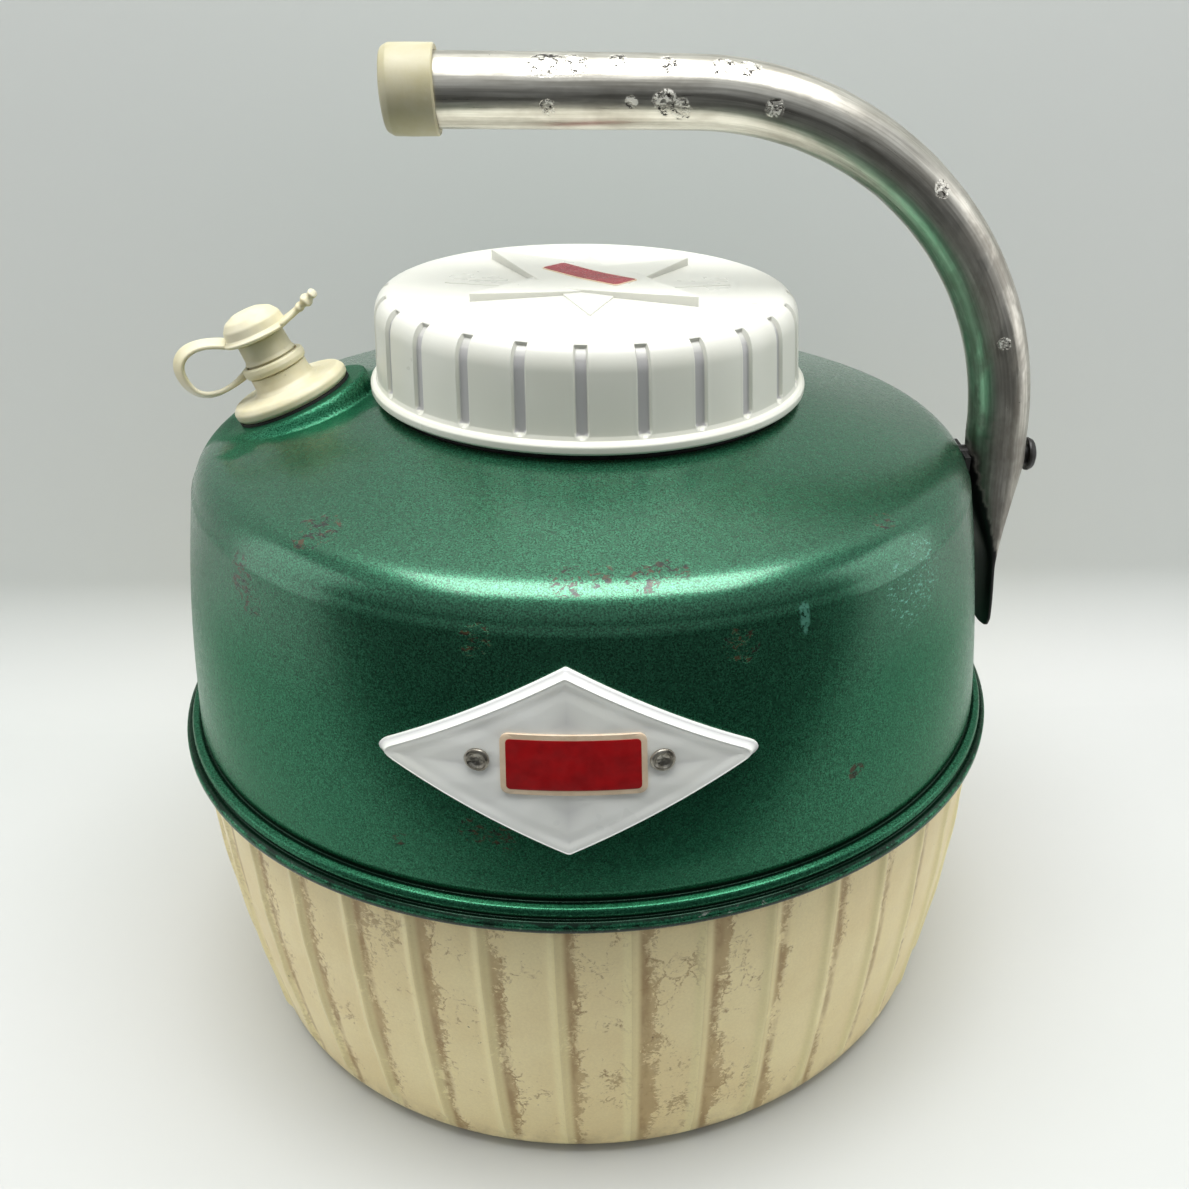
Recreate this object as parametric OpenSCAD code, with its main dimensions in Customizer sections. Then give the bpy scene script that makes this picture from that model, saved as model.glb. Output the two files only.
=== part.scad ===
// Insulated one-gallon water jug: enamelled steel upper shell rolled over a
// ribbed plastic lower shell, foam-insulated liner, screw lid, capped pouring
// spout and a bent tube carrying handle that turns on one bolt.
// Origin: centre of the base on the surface it stands on. +Z up, handle at +X,
// spout at -X, badge towards -Y. Millimetres.

/* [Body] */
// Outer radius of the rolled seam lip, the widest point of the body
seam_r = 129; // [128:0.5:131]
// Height of the lower edge of the seam lip above the floor
seam_z = 98; // [96:0.5:100]
// Thickness of the steel upper shell
steel_t = 1.2; // [1:0.1:1.4]
// Wall thickness of the ribbed lower shell
lower_t = 2.2; // [1.8:0.1:2.6]
// Number of raised ribs round the lower shell
rib_count = 40; // [32:2:48]
// Width of one rib
rib_w = 2.8; // [2:0.1:3.5]
// How far a rib stands out of the lower shell
rib_h = 1; // [0.6:0.1:1.4]

/* [Lid] */
// Height of the flat top of the lid above the floor
lid_top_z = 227; // [226:0.5:229]
// Radius of the lid skirt just above its flange
lid_r = 61.6; // [61.2:0.1:62.2]
// Radius of the flange at the foot of the lid
lid_flange_r = 63.4; // [62.6:0.1:64.4]
// Number of finger slots round the lid skirt
slot_count = 24; // [18:1:30]
// Width of one finger slot
slot_w = 3.6; // [2.5:0.1:4.5]
// Thread pitch of the lid and the liner neck
pitch = 8; // [7:0.5:9]

/* [Spout] */
// Tilt of the spout away from the vertical, towards -X
spout_tilt = 22; // [20:1:24]
// Radius of the spout flange
spout_flange_r = 17.2; // [16:0.2:19]
// Radius of the pouring bore
spout_bore_r = 5; // [4.5:0.1:5.2]

/* [Handle] */
// Outside diameter of the handle tube
tube_d = 19.05; // [18.5:0.05:20]
// Wall thickness of the handle tube
tube_t = 1.4; // [1.2:0.1:1.8]
// Centreline radius of the handle bend
bend_r = 96.4; // [94:0.2:98]
// Length of the straight grip, measured from the end of the bend
grip_len = 79; // [70:1:90]
// Droop of the grip towards its free end
grip_droop = 0.8; // [0:0.1:1.5]
// Height of the handle bolt above the floor
bolt_z = 175; // [174:0.5:176]
// Radius of the bolt shank
bolt_r = 3; // [2.8:0.1:3.2]

/* [Badge] */
// Half length of the diamond badge across the body
badge_hw = 47.2; // [40:0.2:50]
// Half height of the diamond badge
badge_hh = 24.4; // [20:0.2:26]
// Thickness of the badge plate
badge_t = 3.4; // [2.5:0.1:4]

/* [Hidden] */
$fn = 96;
e = 0.01;

// ---- profiles -------------------------------------------------------------
// quadratic through three (z, r) pairs
function quad3(z, z0, r0, z1, r1, z2, r2) =
    r0 + (z - z0) * (r1 - r0) / (z1 - z0)
       + (z - z0) * (z - z1) * ((r2 - r1) / (z2 - z1) - (r1 - r0) / (z1 - z0)) / (z2 - z0);
function upper_r(z) = quad3(z - seam_z, 6.5, seam_r - 4.8, 41.3, seam_r - 7.9, 77.4, seam_r - 13.8);
function lower_r(z) = quad3(z, 8, 116.5, 46.4, 122.2, 91.5, 124.7) + seam_r - 129;
function bez(a, b, c, t) = (1 - t) * (1 - t) * a + 2 * t * (1 - t) * b + t * t * c;
function cub(a, b, c, d, t) = pow(1 - t, 3) * a + 3 * t * pow(1 - t, 2) * b + 3 * t * t * (1 - t) * c + t * t * t * d;

crown = [seam_r - 16.2, seam_z + 86.2];      // where wall and shoulder would meet
hole_edge = [seam_r - 64.5, seam_z + 98.7];  // inner edge of the sloping shoulder
crown_t = 8.3;                                // length taken by the rounding
function unit(v) = v / norm(v);
wall_dir = unit([upper_r(crown[1] - 20) - crown[0], -20]);
cone_dir = unit(hole_edge - crown);
crown_a = crown + crown_t * wall_dir;
crown_b = crown + crown_t * cone_dir;
neck_hole_r = 60.2;

// outline of the upper shell from just above the seam to the neck hole, moved in by d
function upper_wall(d) = concat(
    [for (i = [0:6]) let (z = seam_z + 7.6 + i * (crown_a[1] - seam_z - 7.6) / 6)
        [min(upper_r(z), upper_r(z)) - d, z - d * 0.15]],
    [for (i = [1:8]) let (p = bez(crown_a, crown, crown_b, i / 8),
                         n = unit([0.97 - 0.7 * i / 8, 0.2 + 0.77 * i / 8])) p - d * n],
    [hole_edge - d * [0.25, 0.97]]);

function rev(v) = [for (i = [len(v) - 1:-1:0]) v[i]];

module upper_solid(d) rotate_extrude()
    polygon(concat([[0, seam_z + 7.6 - d * 0.15]], upper_wall(d), [[0, hole_edge[1] - d * 0.97]]));

// seam: curled lip that wraps the rim of the lower shell
function seam_out() = [[seam_r - 3.6, seam_z - 0.3], [seam_r - 1.2, seam_z - 0.2], [seam_r - 0.3, seam_z + 0.3],
    [seam_r, seam_z + 1.2], [seam_r, seam_z + 2.4], [seam_r - 0.4, seam_z + 3.2], [seam_r - 1.7, seam_z + 3.6],
    [seam_r - 1.9, seam_z + 4.1], [seam_r - 2, seam_z + 5.2], [seam_r - 2.7, seam_z + 6.2],
    [seam_r - 4.2, seam_z + 6.5], [seam_r - 5.1, seam_z + 6.9]];
function seam_in() = [[seam_r - 3.9, seam_z - 0.3], [seam_r - 3.9, seam_z + 1.2], [seam_r - 1.5, seam_z + 1.2],
    [seam_r - 1.5, seam_z + 3], [seam_r - 3.4, seam_z + 3.1], [seam_r - 3.4, seam_z + 5.1],
    [seam_r - 6, seam_z + 5.3], [seam_r - 6.2, seam_z + 6.9]];

function lower_out(d) = concat(
    [for (i = [0:6]) let (a = -90 + 84 * i / 6) [108.5 + seam_r - 129 + (8 - d) * cos(a), 8 + (8 - d) * sin(a)]],
    [for (i = [1:8]) let (z = 8 + i * (seam_z - 9) / 8) [lower_r(z) - d, z]]);

// ---- spout frame ----------------------------------------------------------
spout_x = -86.8;
spout_z = 194;
module spout_frame() translate([spout_x, 0, spout_z]) rotate([0, -spout_tilt, 0]) children();

// ---- helical ridge, right handed -------------------------------------------
module ridge(r_base, r_tip, z0, turns, w_base, w_tip, n = 32) {
    steps = round(n * turns);
    function fade(i) = min(1, 0.18 + i / 5, 0.18 + (steps - i) / 5);
    pts = [for (i = [0:steps]) let (a = 360 * i / n, z = z0 + pitch * i / n,
                                    rt = r_base + (r_tip - r_base) * fade(i))
        each [[r_base * cos(a), r_base * sin(a), z - w_base / 2],
              [rt * cos(a), rt * sin(a), z - w_tip / 2],
              [rt * cos(a), rt * sin(a), z + w_tip / 2],
              [r_base * cos(a), r_base * sin(a), z + w_base / 2]]];
    out = r_tip > r_base;
    tri = concat([[3, 2, 1], [3, 1, 0]],
        [[4 * steps, 4 * steps + 1, 4 * steps + 2], [4 * steps, 4 * steps + 2, 4 * steps + 3]],
        [for (i = [0:steps - 1], j = [0:3]) let (k = (j + 1) % 4)
            each [[4 * (i + 1) + k, 4 * (i + 1) + j, 4 * i + j], [4 * (i + 1) + k, 4 * i + j, 4 * i + k]]]);
    polyhedron(pts, out ? tri : [for (t = tri) [t[2], t[1], t[0]]], convexity = 6);
}

// ---- body ------------------------------------------------------------------
module bottom_shell() color([0.84, 0.77, 0.62]) {
    lo = lower_out(0);
    li = lower_out(lower_t);
    top = seam_z + 2.9;
    rr = lower_r(seam_z);
    rotate_extrude() polygon(concat(
        [[0, 0], [28, 0], [29.6, 1.6], [95, 1.6], [98, 0]], lo,
        [[rr, seam_z + 1.4], [seam_r - 1.7, seam_z + 1.4], [seam_r - 1.7, top], [rr - lower_t, top]],
        rev(li), [[100, 4.8], [0, 4.8]]));
    intersection() {
        rotate_extrude() polygon(concat(
            [for (i = [1:10]) let (z = 9 + i * (seam_z - 10.4) / 10) [lower_r(z) - 1, z]],
            [for (i = [10:-1:1]) let (z = 9 + i * (seam_z - 10.4) / 10) [lower_r(z) + (i < 2 ? 0.3 : rib_h), z]]));
        for (i = [0:rib_count - 1]) rotate([0, 0, -86.8 + i * 360 / rib_count])
            translate([100, -rib_w / 2, 0]) cube([30, rib_w, 110]);
    }
}

module shell_cut() {
    // openings through the upper shell: spout tail, handle bolt, badge rivets
    spout_frame() translate([0, 0, -14]) cylinder(r = 7.2, h = 14);
    translate([100, 0, bolt_z]) rotate([0, 90, 0]) cylinder(r = bolt_r + 0.1, h = 20);
    for (a = badge_rivet_a) rotate([0, 0, a]) translate([0, -110, rivet_z]) rotate([90, 0, 0]) cylinder(r = 1.7, h = 20);
}

module top_shell() color([0.05, 0.32, 0.2]) difference() {
    union() {
        rotate_extrude() polygon(concat(seam_out(), upper_wall(0),
            [[neck_hole_r + 1.3, hole_edge[1] + 0.7], [neck_hole_r + 0.3, hole_edge[1] + 0.5], [neck_hole_r, hole_edge[1] - 0.3],
             [neck_hole_r, 190], [neck_hole_r + 1.2, 190], [neck_hole_r + 1.2, hole_edge[1] - 1.1]],
            rev(upper_wall(steel_t)), rev(seam_in())));
        difference() {
            spout_frame() translate([0, 0, -13]) cylinder(r = 20.5, h = 12.2);
            upper_solid(steel_t);
        }
    }
    intersection() {
        spout_frame() translate([0, 0, -14]) cylinder(r = 20.5 - steel_t, h = 13.2 - steel_t);
        translate([-130, -30, 150]) cube([90, 60, 60]);
    }
    shell_cut();
}

liner_t = 2.2;
function liner_out() = [[88, 20], [95, 22.9], [98, 30], [98.6, 60], [101, 150], [101, 163], [98.5, 169.5], [92.5, 174], [60, 182.1], [56.6, 184]];
function liner_in() = [[87.5, 22.2], [93.5, 24.6], [95.8, 30.4], [96.4, 60], [98.8, 150], [98.8, 162.6], [96.8, 167.8], [91.7, 171.8], [56, 180.7], [53.2, 182.5]];
neck_top = 219;

module liner() color([0.93, 0.92, 0.88]) difference() {
    union() {
        rotate_extrude() polygon(concat([[0, 20]], liner_out(),
            [[56.6, 192.2], [59.6, 192.2], [59.6, 193.4], [56.6, 193.4], [56.6, neck_top - 0.5], [56.1, neck_top], [53.7, neck_top], [53.2, neck_top - 0.5]],
            rev(liner_in()), [[0, 22.2]]));
        ridge(56.3, 58.2, 203.6, 1.5, 2.8, 1.5);
    }
    spout_frame() translate([0, 0, -30]) cylinder(r = 9.4, h = 20);
}

module foam_insulation() color([0.93, 0.88, 0.7]) difference() {
    union() {
        rotate_extrude() polygon(concat([[0, 5]], [[100.2, 5]], lower_out(lower_t + 0.15),
            [[lower_r(seam_z) - lower_t - 0.2, seam_z + 9], [0, seam_z + 9]]));
        upper_solid(steel_t + 0.15);
    }
    difference() {
        union() {
            rotate_extrude() polygon(concat([[0, 19.9]], [for (p = liner_out()) p + [0.1, p[1] > 170 ? 0.1 : 0]], [[56.7, 200], [0, 200]]));
        }
    }
    translate([0, 0, 189]) cylinder(r = neck_hole_r + 1.4, h = 12);
    spout_frame() translate([0, 0, -30]) cylinder(r = 9.6, h = 40);
    spout_frame() translate([0, 0, -13]) cylinder(r = 20.6, h = 20);
    translate([100.6, -11.3, 161.7]) cube([16, 22.6, 20.6]);
    for (a = badge_rivet_a) rotate([0, 0, a]) translate([0, -110, rivet_z]) rotate([90, 0, 0]) cylinder(r = 3.4, h = 20);
}

module neck_seal() color([0.12, 0.12, 0.12]) rotate_extrude()
    polygon([[56.75, 193.5], [60.1, 193.5], [60.1, 197.4], [59.6, 198.3], [57.4, 198.6], [56.75, 198.2]]);

// ---- badge -----------------------------------------------------------------
badge_a = -3.6;
badge_z = seam_z + 46.5;
badge_rivet_a = [-13.4, 6.9];
rivet_z = badge_z + 1.9;

module wall_ring(d0, d1) rotate_extrude() polygon(concat(
    [for (i = [0:8]) let (z = badge_z - 28 + 7 * i) [upper_r(z) + d0, z]],
    [for (i = [8:-1:0]) let (z = badge_z - 28 + 7 * i) [upper_r(z) + d1, z]]));

module diamond_prism(s) rotate([0, 0, badge_a]) translate([0, 0, badge_z]) rotate([90, 0, 0])
    linear_extrude(140) polygon([[-badge_hw * s, 0], [0, -badge_hh * s], [badge_hw * s, 0], [0, badge_hh * s]]);

module badge_plate() color([0.93, 0.94, 0.93]) difference() {
    union() {
        intersection() { wall_ring(0.1, badge_t - 1.2); diamond_prism(1); }
        intersection() { wall_ring(0.1, badge_t); diamond_prism(0.93); }
    }
    for (a = badge_rivet_a) rotate([0, 0, a]) translate([0, 0, rivet_z]) rotate([90, 0, 0]) {
        translate([0, 0, 110]) cylinder(r = 1.7, h = 30);
        translate([0, 0, upper_r(rivet_z) + badge_t - 0.35]) cylinder(r = 3.3, h = 10);
    }
}

module badge_label() color([0.72, 0.1, 0.13]) intersection() {
    wall_ring(badge_t + 0.05, badge_t + 0.5);
    rotate([0, 0, badge_a]) translate([1.6, 0, badge_z + 1.4]) rotate([90, 0, 0]) linear_extrude(140) union() {
        square([29.6, 15.6], center = true);
        square([33.6, 11.6], center = true);
        for (x = [-14.8, 14.8], y = [-5.8, 5.8]) translate([x, y]) circle(r = 2, $fn = 24);
    }
}

module badge_rivets() color([0.7, 0.7, 0.7])
    for (a = badge_rivet_a) rotate([0, 0, a]) translate([0, 0, rivet_z]) rotate([90, 0, 0]) {
        r0 = upper_r(rivet_z) + badge_t;
        translate([0, 0, r0 - 0.25]) rotate_extrude() polygon([[0, 0], [3.05, 0], [3.05, 0.7], [2.5, 1.2], [1.7, 1.2], [1.3, 0.6], [0, 0.5]]);
        translate([0, 0, r0 - badge_t - 3.2]) cylinder(r = 1.6, h = badge_t + 3.1);
        translate([0, 0, r0 - badge_t - 3.2]) cylinder(r = 3, h = 1);
    }

// ---- spout -----------------------------------------------------------------
module spout_nozzle() color([0.9, 0.86, 0.74]) spout_frame() rotate_extrude() polygon([
    [spout_bore_r, -24], [6.5, -24], [6.5, 0], [spout_flange_r - 0.8, 0], [spout_flange_r, 0.9], [spout_flange_r, 2.4],
    [spout_flange_r - 0.7, 3.5], [spout_flange_r - 2, 4.1], [9.8, 4.4], [8.7, 5.2], [8.4, 6.6], [8.3, 9.2], [8, 9.45],
    [7.1, 9.45], [7.1, 12.9], [7.6, 13.2], [7, 14.2], [6.9, 18.8], [6.4, 19.4], [spout_bore_r, 19.4]]);

module spout_gasket() color([0.1, 0.1, 0.1]) spout_frame() translate([0, 0, -0.75]) difference() {
    cylinder(r = 17, h = 0.7);
    translate([0, 0, -1]) cylinder(r = 6.7, h = 3);
}

module spout_grommet() color([0.12, 0.12, 0.12]) spout_frame() translate([0, 0, -21.5]) difference() {
    cylinder(r = 9.3, h = 6);
    translate([0, 0, -1]) cylinder(r = 6.55, h = 8);
}

module strap_ring() color([0.88, 0.84, 0.71]) spout_frame() rotate_extrude() polygon([
    [7.65, 9.65], [8.4, 9.6], [9, 10], [9.3, 10.7], [9.3, 11.6], [9, 12.3], [8.4, 12.7], [7.65, 12.7]]);

// centreline of the strap loop, in the spout frame
function strap_c(t) = t < 0.5
    ? [for (k = [0:1]) cub([-10.1, 11.2][k], [-16.5, 8][k], [-25.8, 7.4][k], [-26.2, 15.6][k], 2 * t)]
    : [for (k = [0:1]) cub([-26.2, 15.6][k], [-26.6, 22.8][k], [-18.4, 25.6][k], [-10.6, 20.9][k], 2 * t - 1)];
function strap_n(t) = let (d = unit(strap_c(min(1, t + 0.01)) - strap_c(max(0, t - 0.01)))) [-d[1], d[0]];
module cap_strap() color([0.9, 0.86, 0.74]) spout_frame() translate([0, 3.3, 0]) rotate([90, 0, 0]) linear_extrude(6.6)
    polygon(concat([for (i = [0:24]) strap_c(i / 24) + 0.9 * strap_n(i / 24)],
                   [for (i = [24:-1:0]) strap_c(i / 24) - 0.9 * strap_n(i / 24)]));

module spout_cap() color([0.91, 0.88, 0.76]) spout_frame() {
    rotate_extrude() polygon(concat(
        [[0, 11.5], [spout_bore_r - 0.5, 11.5], [spout_bore_r - 0.05, 12.2], [spout_bore_r - 0.05, 19.6], [9.5, 19.6], [10.1, 20.1], [10.1, 20.7], [9.5, 21.1]],
        [for (i = [0:7]) [8.9 * cos(i * 90 / 8), 21.1 + 6 * sin(i * 90 / 8)]], [[0, 27.1]]));
    translate([0, 2.3, 0]) rotate([90, 0, 0]) linear_extrude(4.6) polygon([[9, 19.9], [12.5, 20.7], [19.6, 24.4], [19.6, 25.6], [12, 22.3], [9, 21.5]]);
    for (p = [[14.2, 22.4], [17.2, 23.9], [20, 25.4]]) translate([p[0], 0, p[1]]) sphere(r = 1.5, $fn = 24);
}

// ---- lid -------------------------------------------------------------------
lid_z = seam_z + 101.3;
module lid_gasket() color([0.85, 0.84, 0.78]) rotate_extrude() polygon([[51.5, 219.3], [57, 219.3], [57, 221.2], [51.5, 221.2]]);

// blades of the raised star: direction, half length, half width, height, centre
star = [[0, 41, 9, 0.4, 0, 1], [90, 35, 12, 0.7, 0, 1], [36, 38.7, 14, 1.2, -1, 3], [-43, 40.4, 16, 1.7, 0, 4]];

module lid_shell() color([0.95, 0.96, 0.95]) difference() {
    union() {
        rotate_extrude() polygon(concat(
            [[59.2, lid_z], [lid_flange_r - 0.6, lid_z], [lid_flange_r, lid_z + 0.6], [lid_flange_r, lid_z + 2.2],
             [lid_flange_r - 0.6, lid_z + 2.9], [lid_r + 0.2, lid_z + 3.1], [lid_r - 0.5, 212], [lid_r - 1, 219.5]],
            [for (i = [1:8]) bez([lid_r - 1, 219.5], [lid_r - 1.2, lid_top_z], [lid_r - 7.5, lid_top_z], i / 8)],
            [[0, lid_top_z], [0, lid_top_z - 2.4], [57.3, lid_top_z - 2.4], [58.9, 222.8], [58.9, lid_z + 0.6]]));
        for (b = star) translate([b[4], b[5], lid_top_z - 0.2]) rotate([0, 0, b[0]]) linear_extrude(b[3] + 0.2)
            polygon([[b[1], 0], [0, b[2]], [-b[1], 0], [0, -b[2]]]);
        intersection() {
            ridge(59.1, 57.2, 201.6, 1.4, 2.6, 1.4);
            cylinder(r = 60, h = 400);
        }
    }
    difference() {
        for (i = [0:slot_count - 1]) rotate([0, 0, -92.5 + i * 360 / slot_count])
            translate([60.1, -slot_w / 2, lid_z + 3.9]) cube([6, slot_w, lid_top_z - 1 - lid_z - 3.9]);
    }
    translate([0, 5, lid_top_z + 1.4]) rotate([0, 0, -43]) translate([-14.9, -4.9, 0]) cube([29.8, 9.8, 2]);
}

module lid_inner_cover() color([0.94, 0.94, 0.92]) rotate_extrude() polygon([
    [0, 208], [44.5, 208], [46, 209.5], [46, 221.5], [57.6, 221.5], [57.6, 223], [44.2, 223], [44.2, 209.8], [0, 209.8]]);

module lid_foam() color([0.93, 0.88, 0.7]) translate([0, 0, 209.9]) cylinder(r = 44.1, h = lid_top_z - 2.5 - 209.9);

module lid_label() color([0.72, 0.1, 0.13]) translate([0, 5, lid_top_z + 1.42]) rotate([0, 0, -43])
    translate([-14.75, -4.75, 0]) cube([29.5, 9.5, 0.5]);

// ---- handle ----------------------------------------------------------------
leg_x = 126.6;
bend_z = seam_z + 84.1;
bend_x = leg_x - bend_r;
tube_r = tube_d / 2;

// sections of the pressed foot: height, centre x, half depth, half width
foot = [[117.5, 129.3, 1.3, 7], [119, 129.2, 1.4, 11], [122.5, 128.9, 1.4, 13.4], [130, 128.35, 1.45, 14], [142, 127.35, 1.5, 14],
        [146, 127.3, 2.3, 13.8], [150, 127.1, 3.5, 13.2], [158, 126.9, 5.9, 12.2], [166, 126.95, 7.95, 11], [174, 127.2, 9.5, 10],
        [bend_z, leg_x, tube_r, tube_r]];
bend_steps = 13;
// stations along the handle: centre x, centre z, tangent x, tangent z, half depth, half width
function stations() = concat(
    [for (s = foot) [s[1], s[0], 0, 1, s[2], s[3]]],
    [for (i = [1:bend_steps]) let (a = (90 + grip_droop) * i / bend_steps)
        [bend_x + bend_r * cos(a), bend_z + bend_r * sin(a), -sin(a), cos(a), tube_r, tube_r]],
    [let (a = 90 + grip_droop)
        [bend_x + bend_r * cos(a) - grip_len * sin(a), bend_z + bend_r * sin(a) + grip_len * cos(a), -sin(a), cos(a), tube_r, tube_r]]);

// one closed skin: outside from the foot to the open end, then back down the bore
module handle_skin(n = 32) {
    st = stations();
    bore = [for (i = [len(st) - 1:-1:6]) st[i] - [0, 0, 0, 0, tube_t, tube_t]];
    all = concat(st, bore);
    m = len(all);
    pts = [for (s = all, j = [0:n - 1]) let (a = 360 * j / n)
        [s[0] + s[4] * cos(a) * s[3], s[5] * sin(a), s[1] - s[4] * cos(a) * s[2]]];
    polyhedron(pts, concat([[for (j = [0:n - 1]) j]], [[for (j = [n - 1:-1:0]) (m - 1) * n + j]],
        [for (i = [0:m - 2], j = [0:n - 1]) let (k = (j + 1) % n)
            each [[i * n + j, (i + 1) * n + j, (i + 1) * n + k], [i * n + j, (i + 1) * n + k, i * n + k]]]), convexity = 6);
}

module handle_tube() color([0.72, 0.72, 0.71]) difference() {
    handle_skin();
    translate([110, 0, bolt_z]) rotate([0, 90, 0]) cylinder(r = bolt_r + 0.05, h = 40);
}

module handle_end_cap() color([0.92, 0.89, 0.8])
    translate([bend_x, 0, bend_z]) rotate([0, -grip_droop, 0]) translate([-grip_len, 0, bend_r]) rotate([0, 90, 0]) difference() {
        rotate_extrude($fn = 64) polygon([[0, -3], [8, -2.7], [10.2, -2], [11.1, -0.9], [11.35, 0.6], [11.35, 10.8], [11, 11.6], [0, 11.6]]);
        translate([0, 0, -0.1]) cylinder(r = tube_r + 0.05, h = 20, $fn = 48);
    }

module handle_pad() color([0.07, 0.07, 0.07]) difference() {
    intersection() {
        translate([110, -8.5, 158]) cube([6.9, 17, 19]);
        rotate_extrude() polygon([[upper_r(157) + 0.1, 157], [upper_r(167) + 0.1, 167], [upper_r(176) + 0.2, 177.5], [130, 177.5], [130, 157]]);
    }
    translate([100, 0, bolt_z]) rotate([0, 90, 0]) cylinder(r = bolt_r + 0.1, h = 30);
}

module handle_bolt() color([0.09, 0.09, 0.09]) translate([0, 0, bolt_z]) rotate([0, 90, 0]) rotate_extrude()
    polygon([[0, 101.2], [bolt_r - 0.4, 101.2], [bolt_r, 101.7], [bolt_r, 137.1], [5.25, 137.1], [5.25, 137.9], [4.7, 139], [3.4, 139.8], [1.8, 140.2], [0, 140.3]]);

module handle_backing_block() color([0.55, 0.42, 0.27]) difference() {
    intersection() {
        translate([108.8, -11, 162]) cube([10, 22, 20]);
        upper_solid(steel_t + 0.1);
    }
    translate([100, 0, bolt_z]) rotate([0, 90, 0]) cylinder(r = bolt_r + 0.1, h = 30);
}

module handle_washer() color([0.6, 0.6, 0.6]) translate([107.1, 0, bolt_z]) rotate([0, 90, 0]) difference() {
    cylinder(r = 6.2, h = 1.6);
    translate([0, 0, -1]) cylinder(r = bolt_r + 0.1, h = 4);
}

module handle_nut() color([0.55, 0.55, 0.55]) translate([102.6, 0, bolt_z]) rotate([0, 90, 0]) difference() {
    cylinder(r = 6, h = 4.4, $fn = 6);
    translate([0, 0, -1]) cylinder(r = bolt_r + 0.02, h = 7);
}

bottom_shell();
top_shell();
foam_insulation();
liner();
neck_seal();
badge_plate();
badge_label();
badge_rivets();
spout_nozzle();
spout_gasket();
spout_grommet();
strap_ring();
cap_strap();
spout_cap();
lid_gasket();
lid_shell();
lid_inner_cover();
lid_foam();
lid_label();
handle_tube();
handle_end_cap();
handle_pad();
handle_bolt();
handle_backing_block();
handle_washer();
handle_nut();
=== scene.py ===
import bpy, bmesh, math
import numpy as np
from mathutils import Vector, Matrix


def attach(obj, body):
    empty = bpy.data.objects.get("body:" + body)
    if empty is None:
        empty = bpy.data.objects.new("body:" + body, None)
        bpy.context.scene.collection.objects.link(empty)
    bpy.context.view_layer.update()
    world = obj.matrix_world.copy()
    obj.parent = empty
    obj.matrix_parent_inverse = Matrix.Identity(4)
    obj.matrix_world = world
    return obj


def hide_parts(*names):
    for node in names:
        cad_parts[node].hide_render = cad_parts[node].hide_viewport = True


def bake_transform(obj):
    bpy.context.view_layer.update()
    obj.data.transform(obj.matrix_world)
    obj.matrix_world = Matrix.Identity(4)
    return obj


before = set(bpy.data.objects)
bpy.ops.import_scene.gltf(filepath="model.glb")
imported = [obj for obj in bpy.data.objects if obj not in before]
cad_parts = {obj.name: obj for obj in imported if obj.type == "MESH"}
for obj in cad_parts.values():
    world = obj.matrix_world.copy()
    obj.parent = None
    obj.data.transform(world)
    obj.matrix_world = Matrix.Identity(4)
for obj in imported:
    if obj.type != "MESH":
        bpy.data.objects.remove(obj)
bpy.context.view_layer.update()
MM = 0.001
SEAM_R, SEAM_Z = 129.0, 98.0
RIB0, RIB_STEP, RIB_N = 3.2, 9.0, 40
LID_TOP = 227.0


# ---------------------------------------------------------------- mesh helpers
def make(name, verts, faces, smooth=True, angle=None):
    me = bpy.data.meshes.new(name)
    me.from_pydata([tuple(v) for v in verts], [], [tuple(f) for f in faces])
    bm = bmesh.new()
    bm.from_mesh(me)
    bmesh.ops.remove_doubles(bm, verts=bm.verts, dist=2e-6)
    bmesh.ops.dissolve_degenerate(bm, edges=bm.edges, dist=1e-7)
    bmesh.ops.recalc_face_normals(bm, faces=bm.faces)
    bm.to_mesh(me)
    bm.free()
    me.polygons.foreach_set("use_smooth", [smooth] * len(me.polygons))
    if smooth and angle:
        me.set_sharp_from_angle(angle=math.radians(angle))
    ob = bpy.data.objects.new(name, me)
    bpy.context.collection.objects.link(ob)
    return ob


def grid_faces(nu, nv, wrap_u, wrap_v):
    u = np.arange(nu if wrap_u else nu - 1)
    v = np.arange(nv if wrap_v else nv - 1)
    U, V = np.meshgrid(u, v, indexing="ij")
    a = U * nv + V
    b = ((U + 1) % nu) * nv + V
    c = ((U + 1) % nu) * nv + (V + 1) % nv
    d = U * nv + (V + 1) % nv
    return np.stack([a, b, c, d], -1).reshape(-1, 4)


def smooth_line(pts, seg=6):
    """Rounds the corners of a polyline. Each point is (r, z) or (r, z, radius), millimetres."""
    out = []
    n = len(pts)
    for i, p in enumerate(pts):
        rad = p[2] if len(p) > 2 else 0.0
        q = np.array(p[:2], float)
        if rad <= 0 or i in (0, n - 1):
            out.append(q)
            continue
        a = np.array(pts[i - 1][:2], float) - q
        b = np.array(pts[i + 1][:2], float) - q
        la, lb = np.linalg.norm(a), np.linalg.norm(b)
        a, b = a / la, b / lb
        half = math.acos(max(-1, min(1, float(a @ b)))) / 2
        t = min(rad / max(math.tan(half), 1e-6), la * 0.49, lb * 0.49)
        p0, p2 = q + a * t, q + b * t
        for k in range(seg + 1):
            s = k / seg
            out.append((1 - s) ** 2 * p0 + 2 * s * (1 - s) * q + s * s * p2)
    return np.array(out)


def resample(line, step):
    line = np.asarray(line, float)
    out = [line[0]]
    for a, b in zip(line[:-1], line[1:]):
        d = np.linalg.norm(b - a)
        k = max(1, int(math.ceil(d / step)))
        for i in range(1, k + 1):
            out.append(a + (b - a) * i / k)
    return np.array(out)


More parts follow.
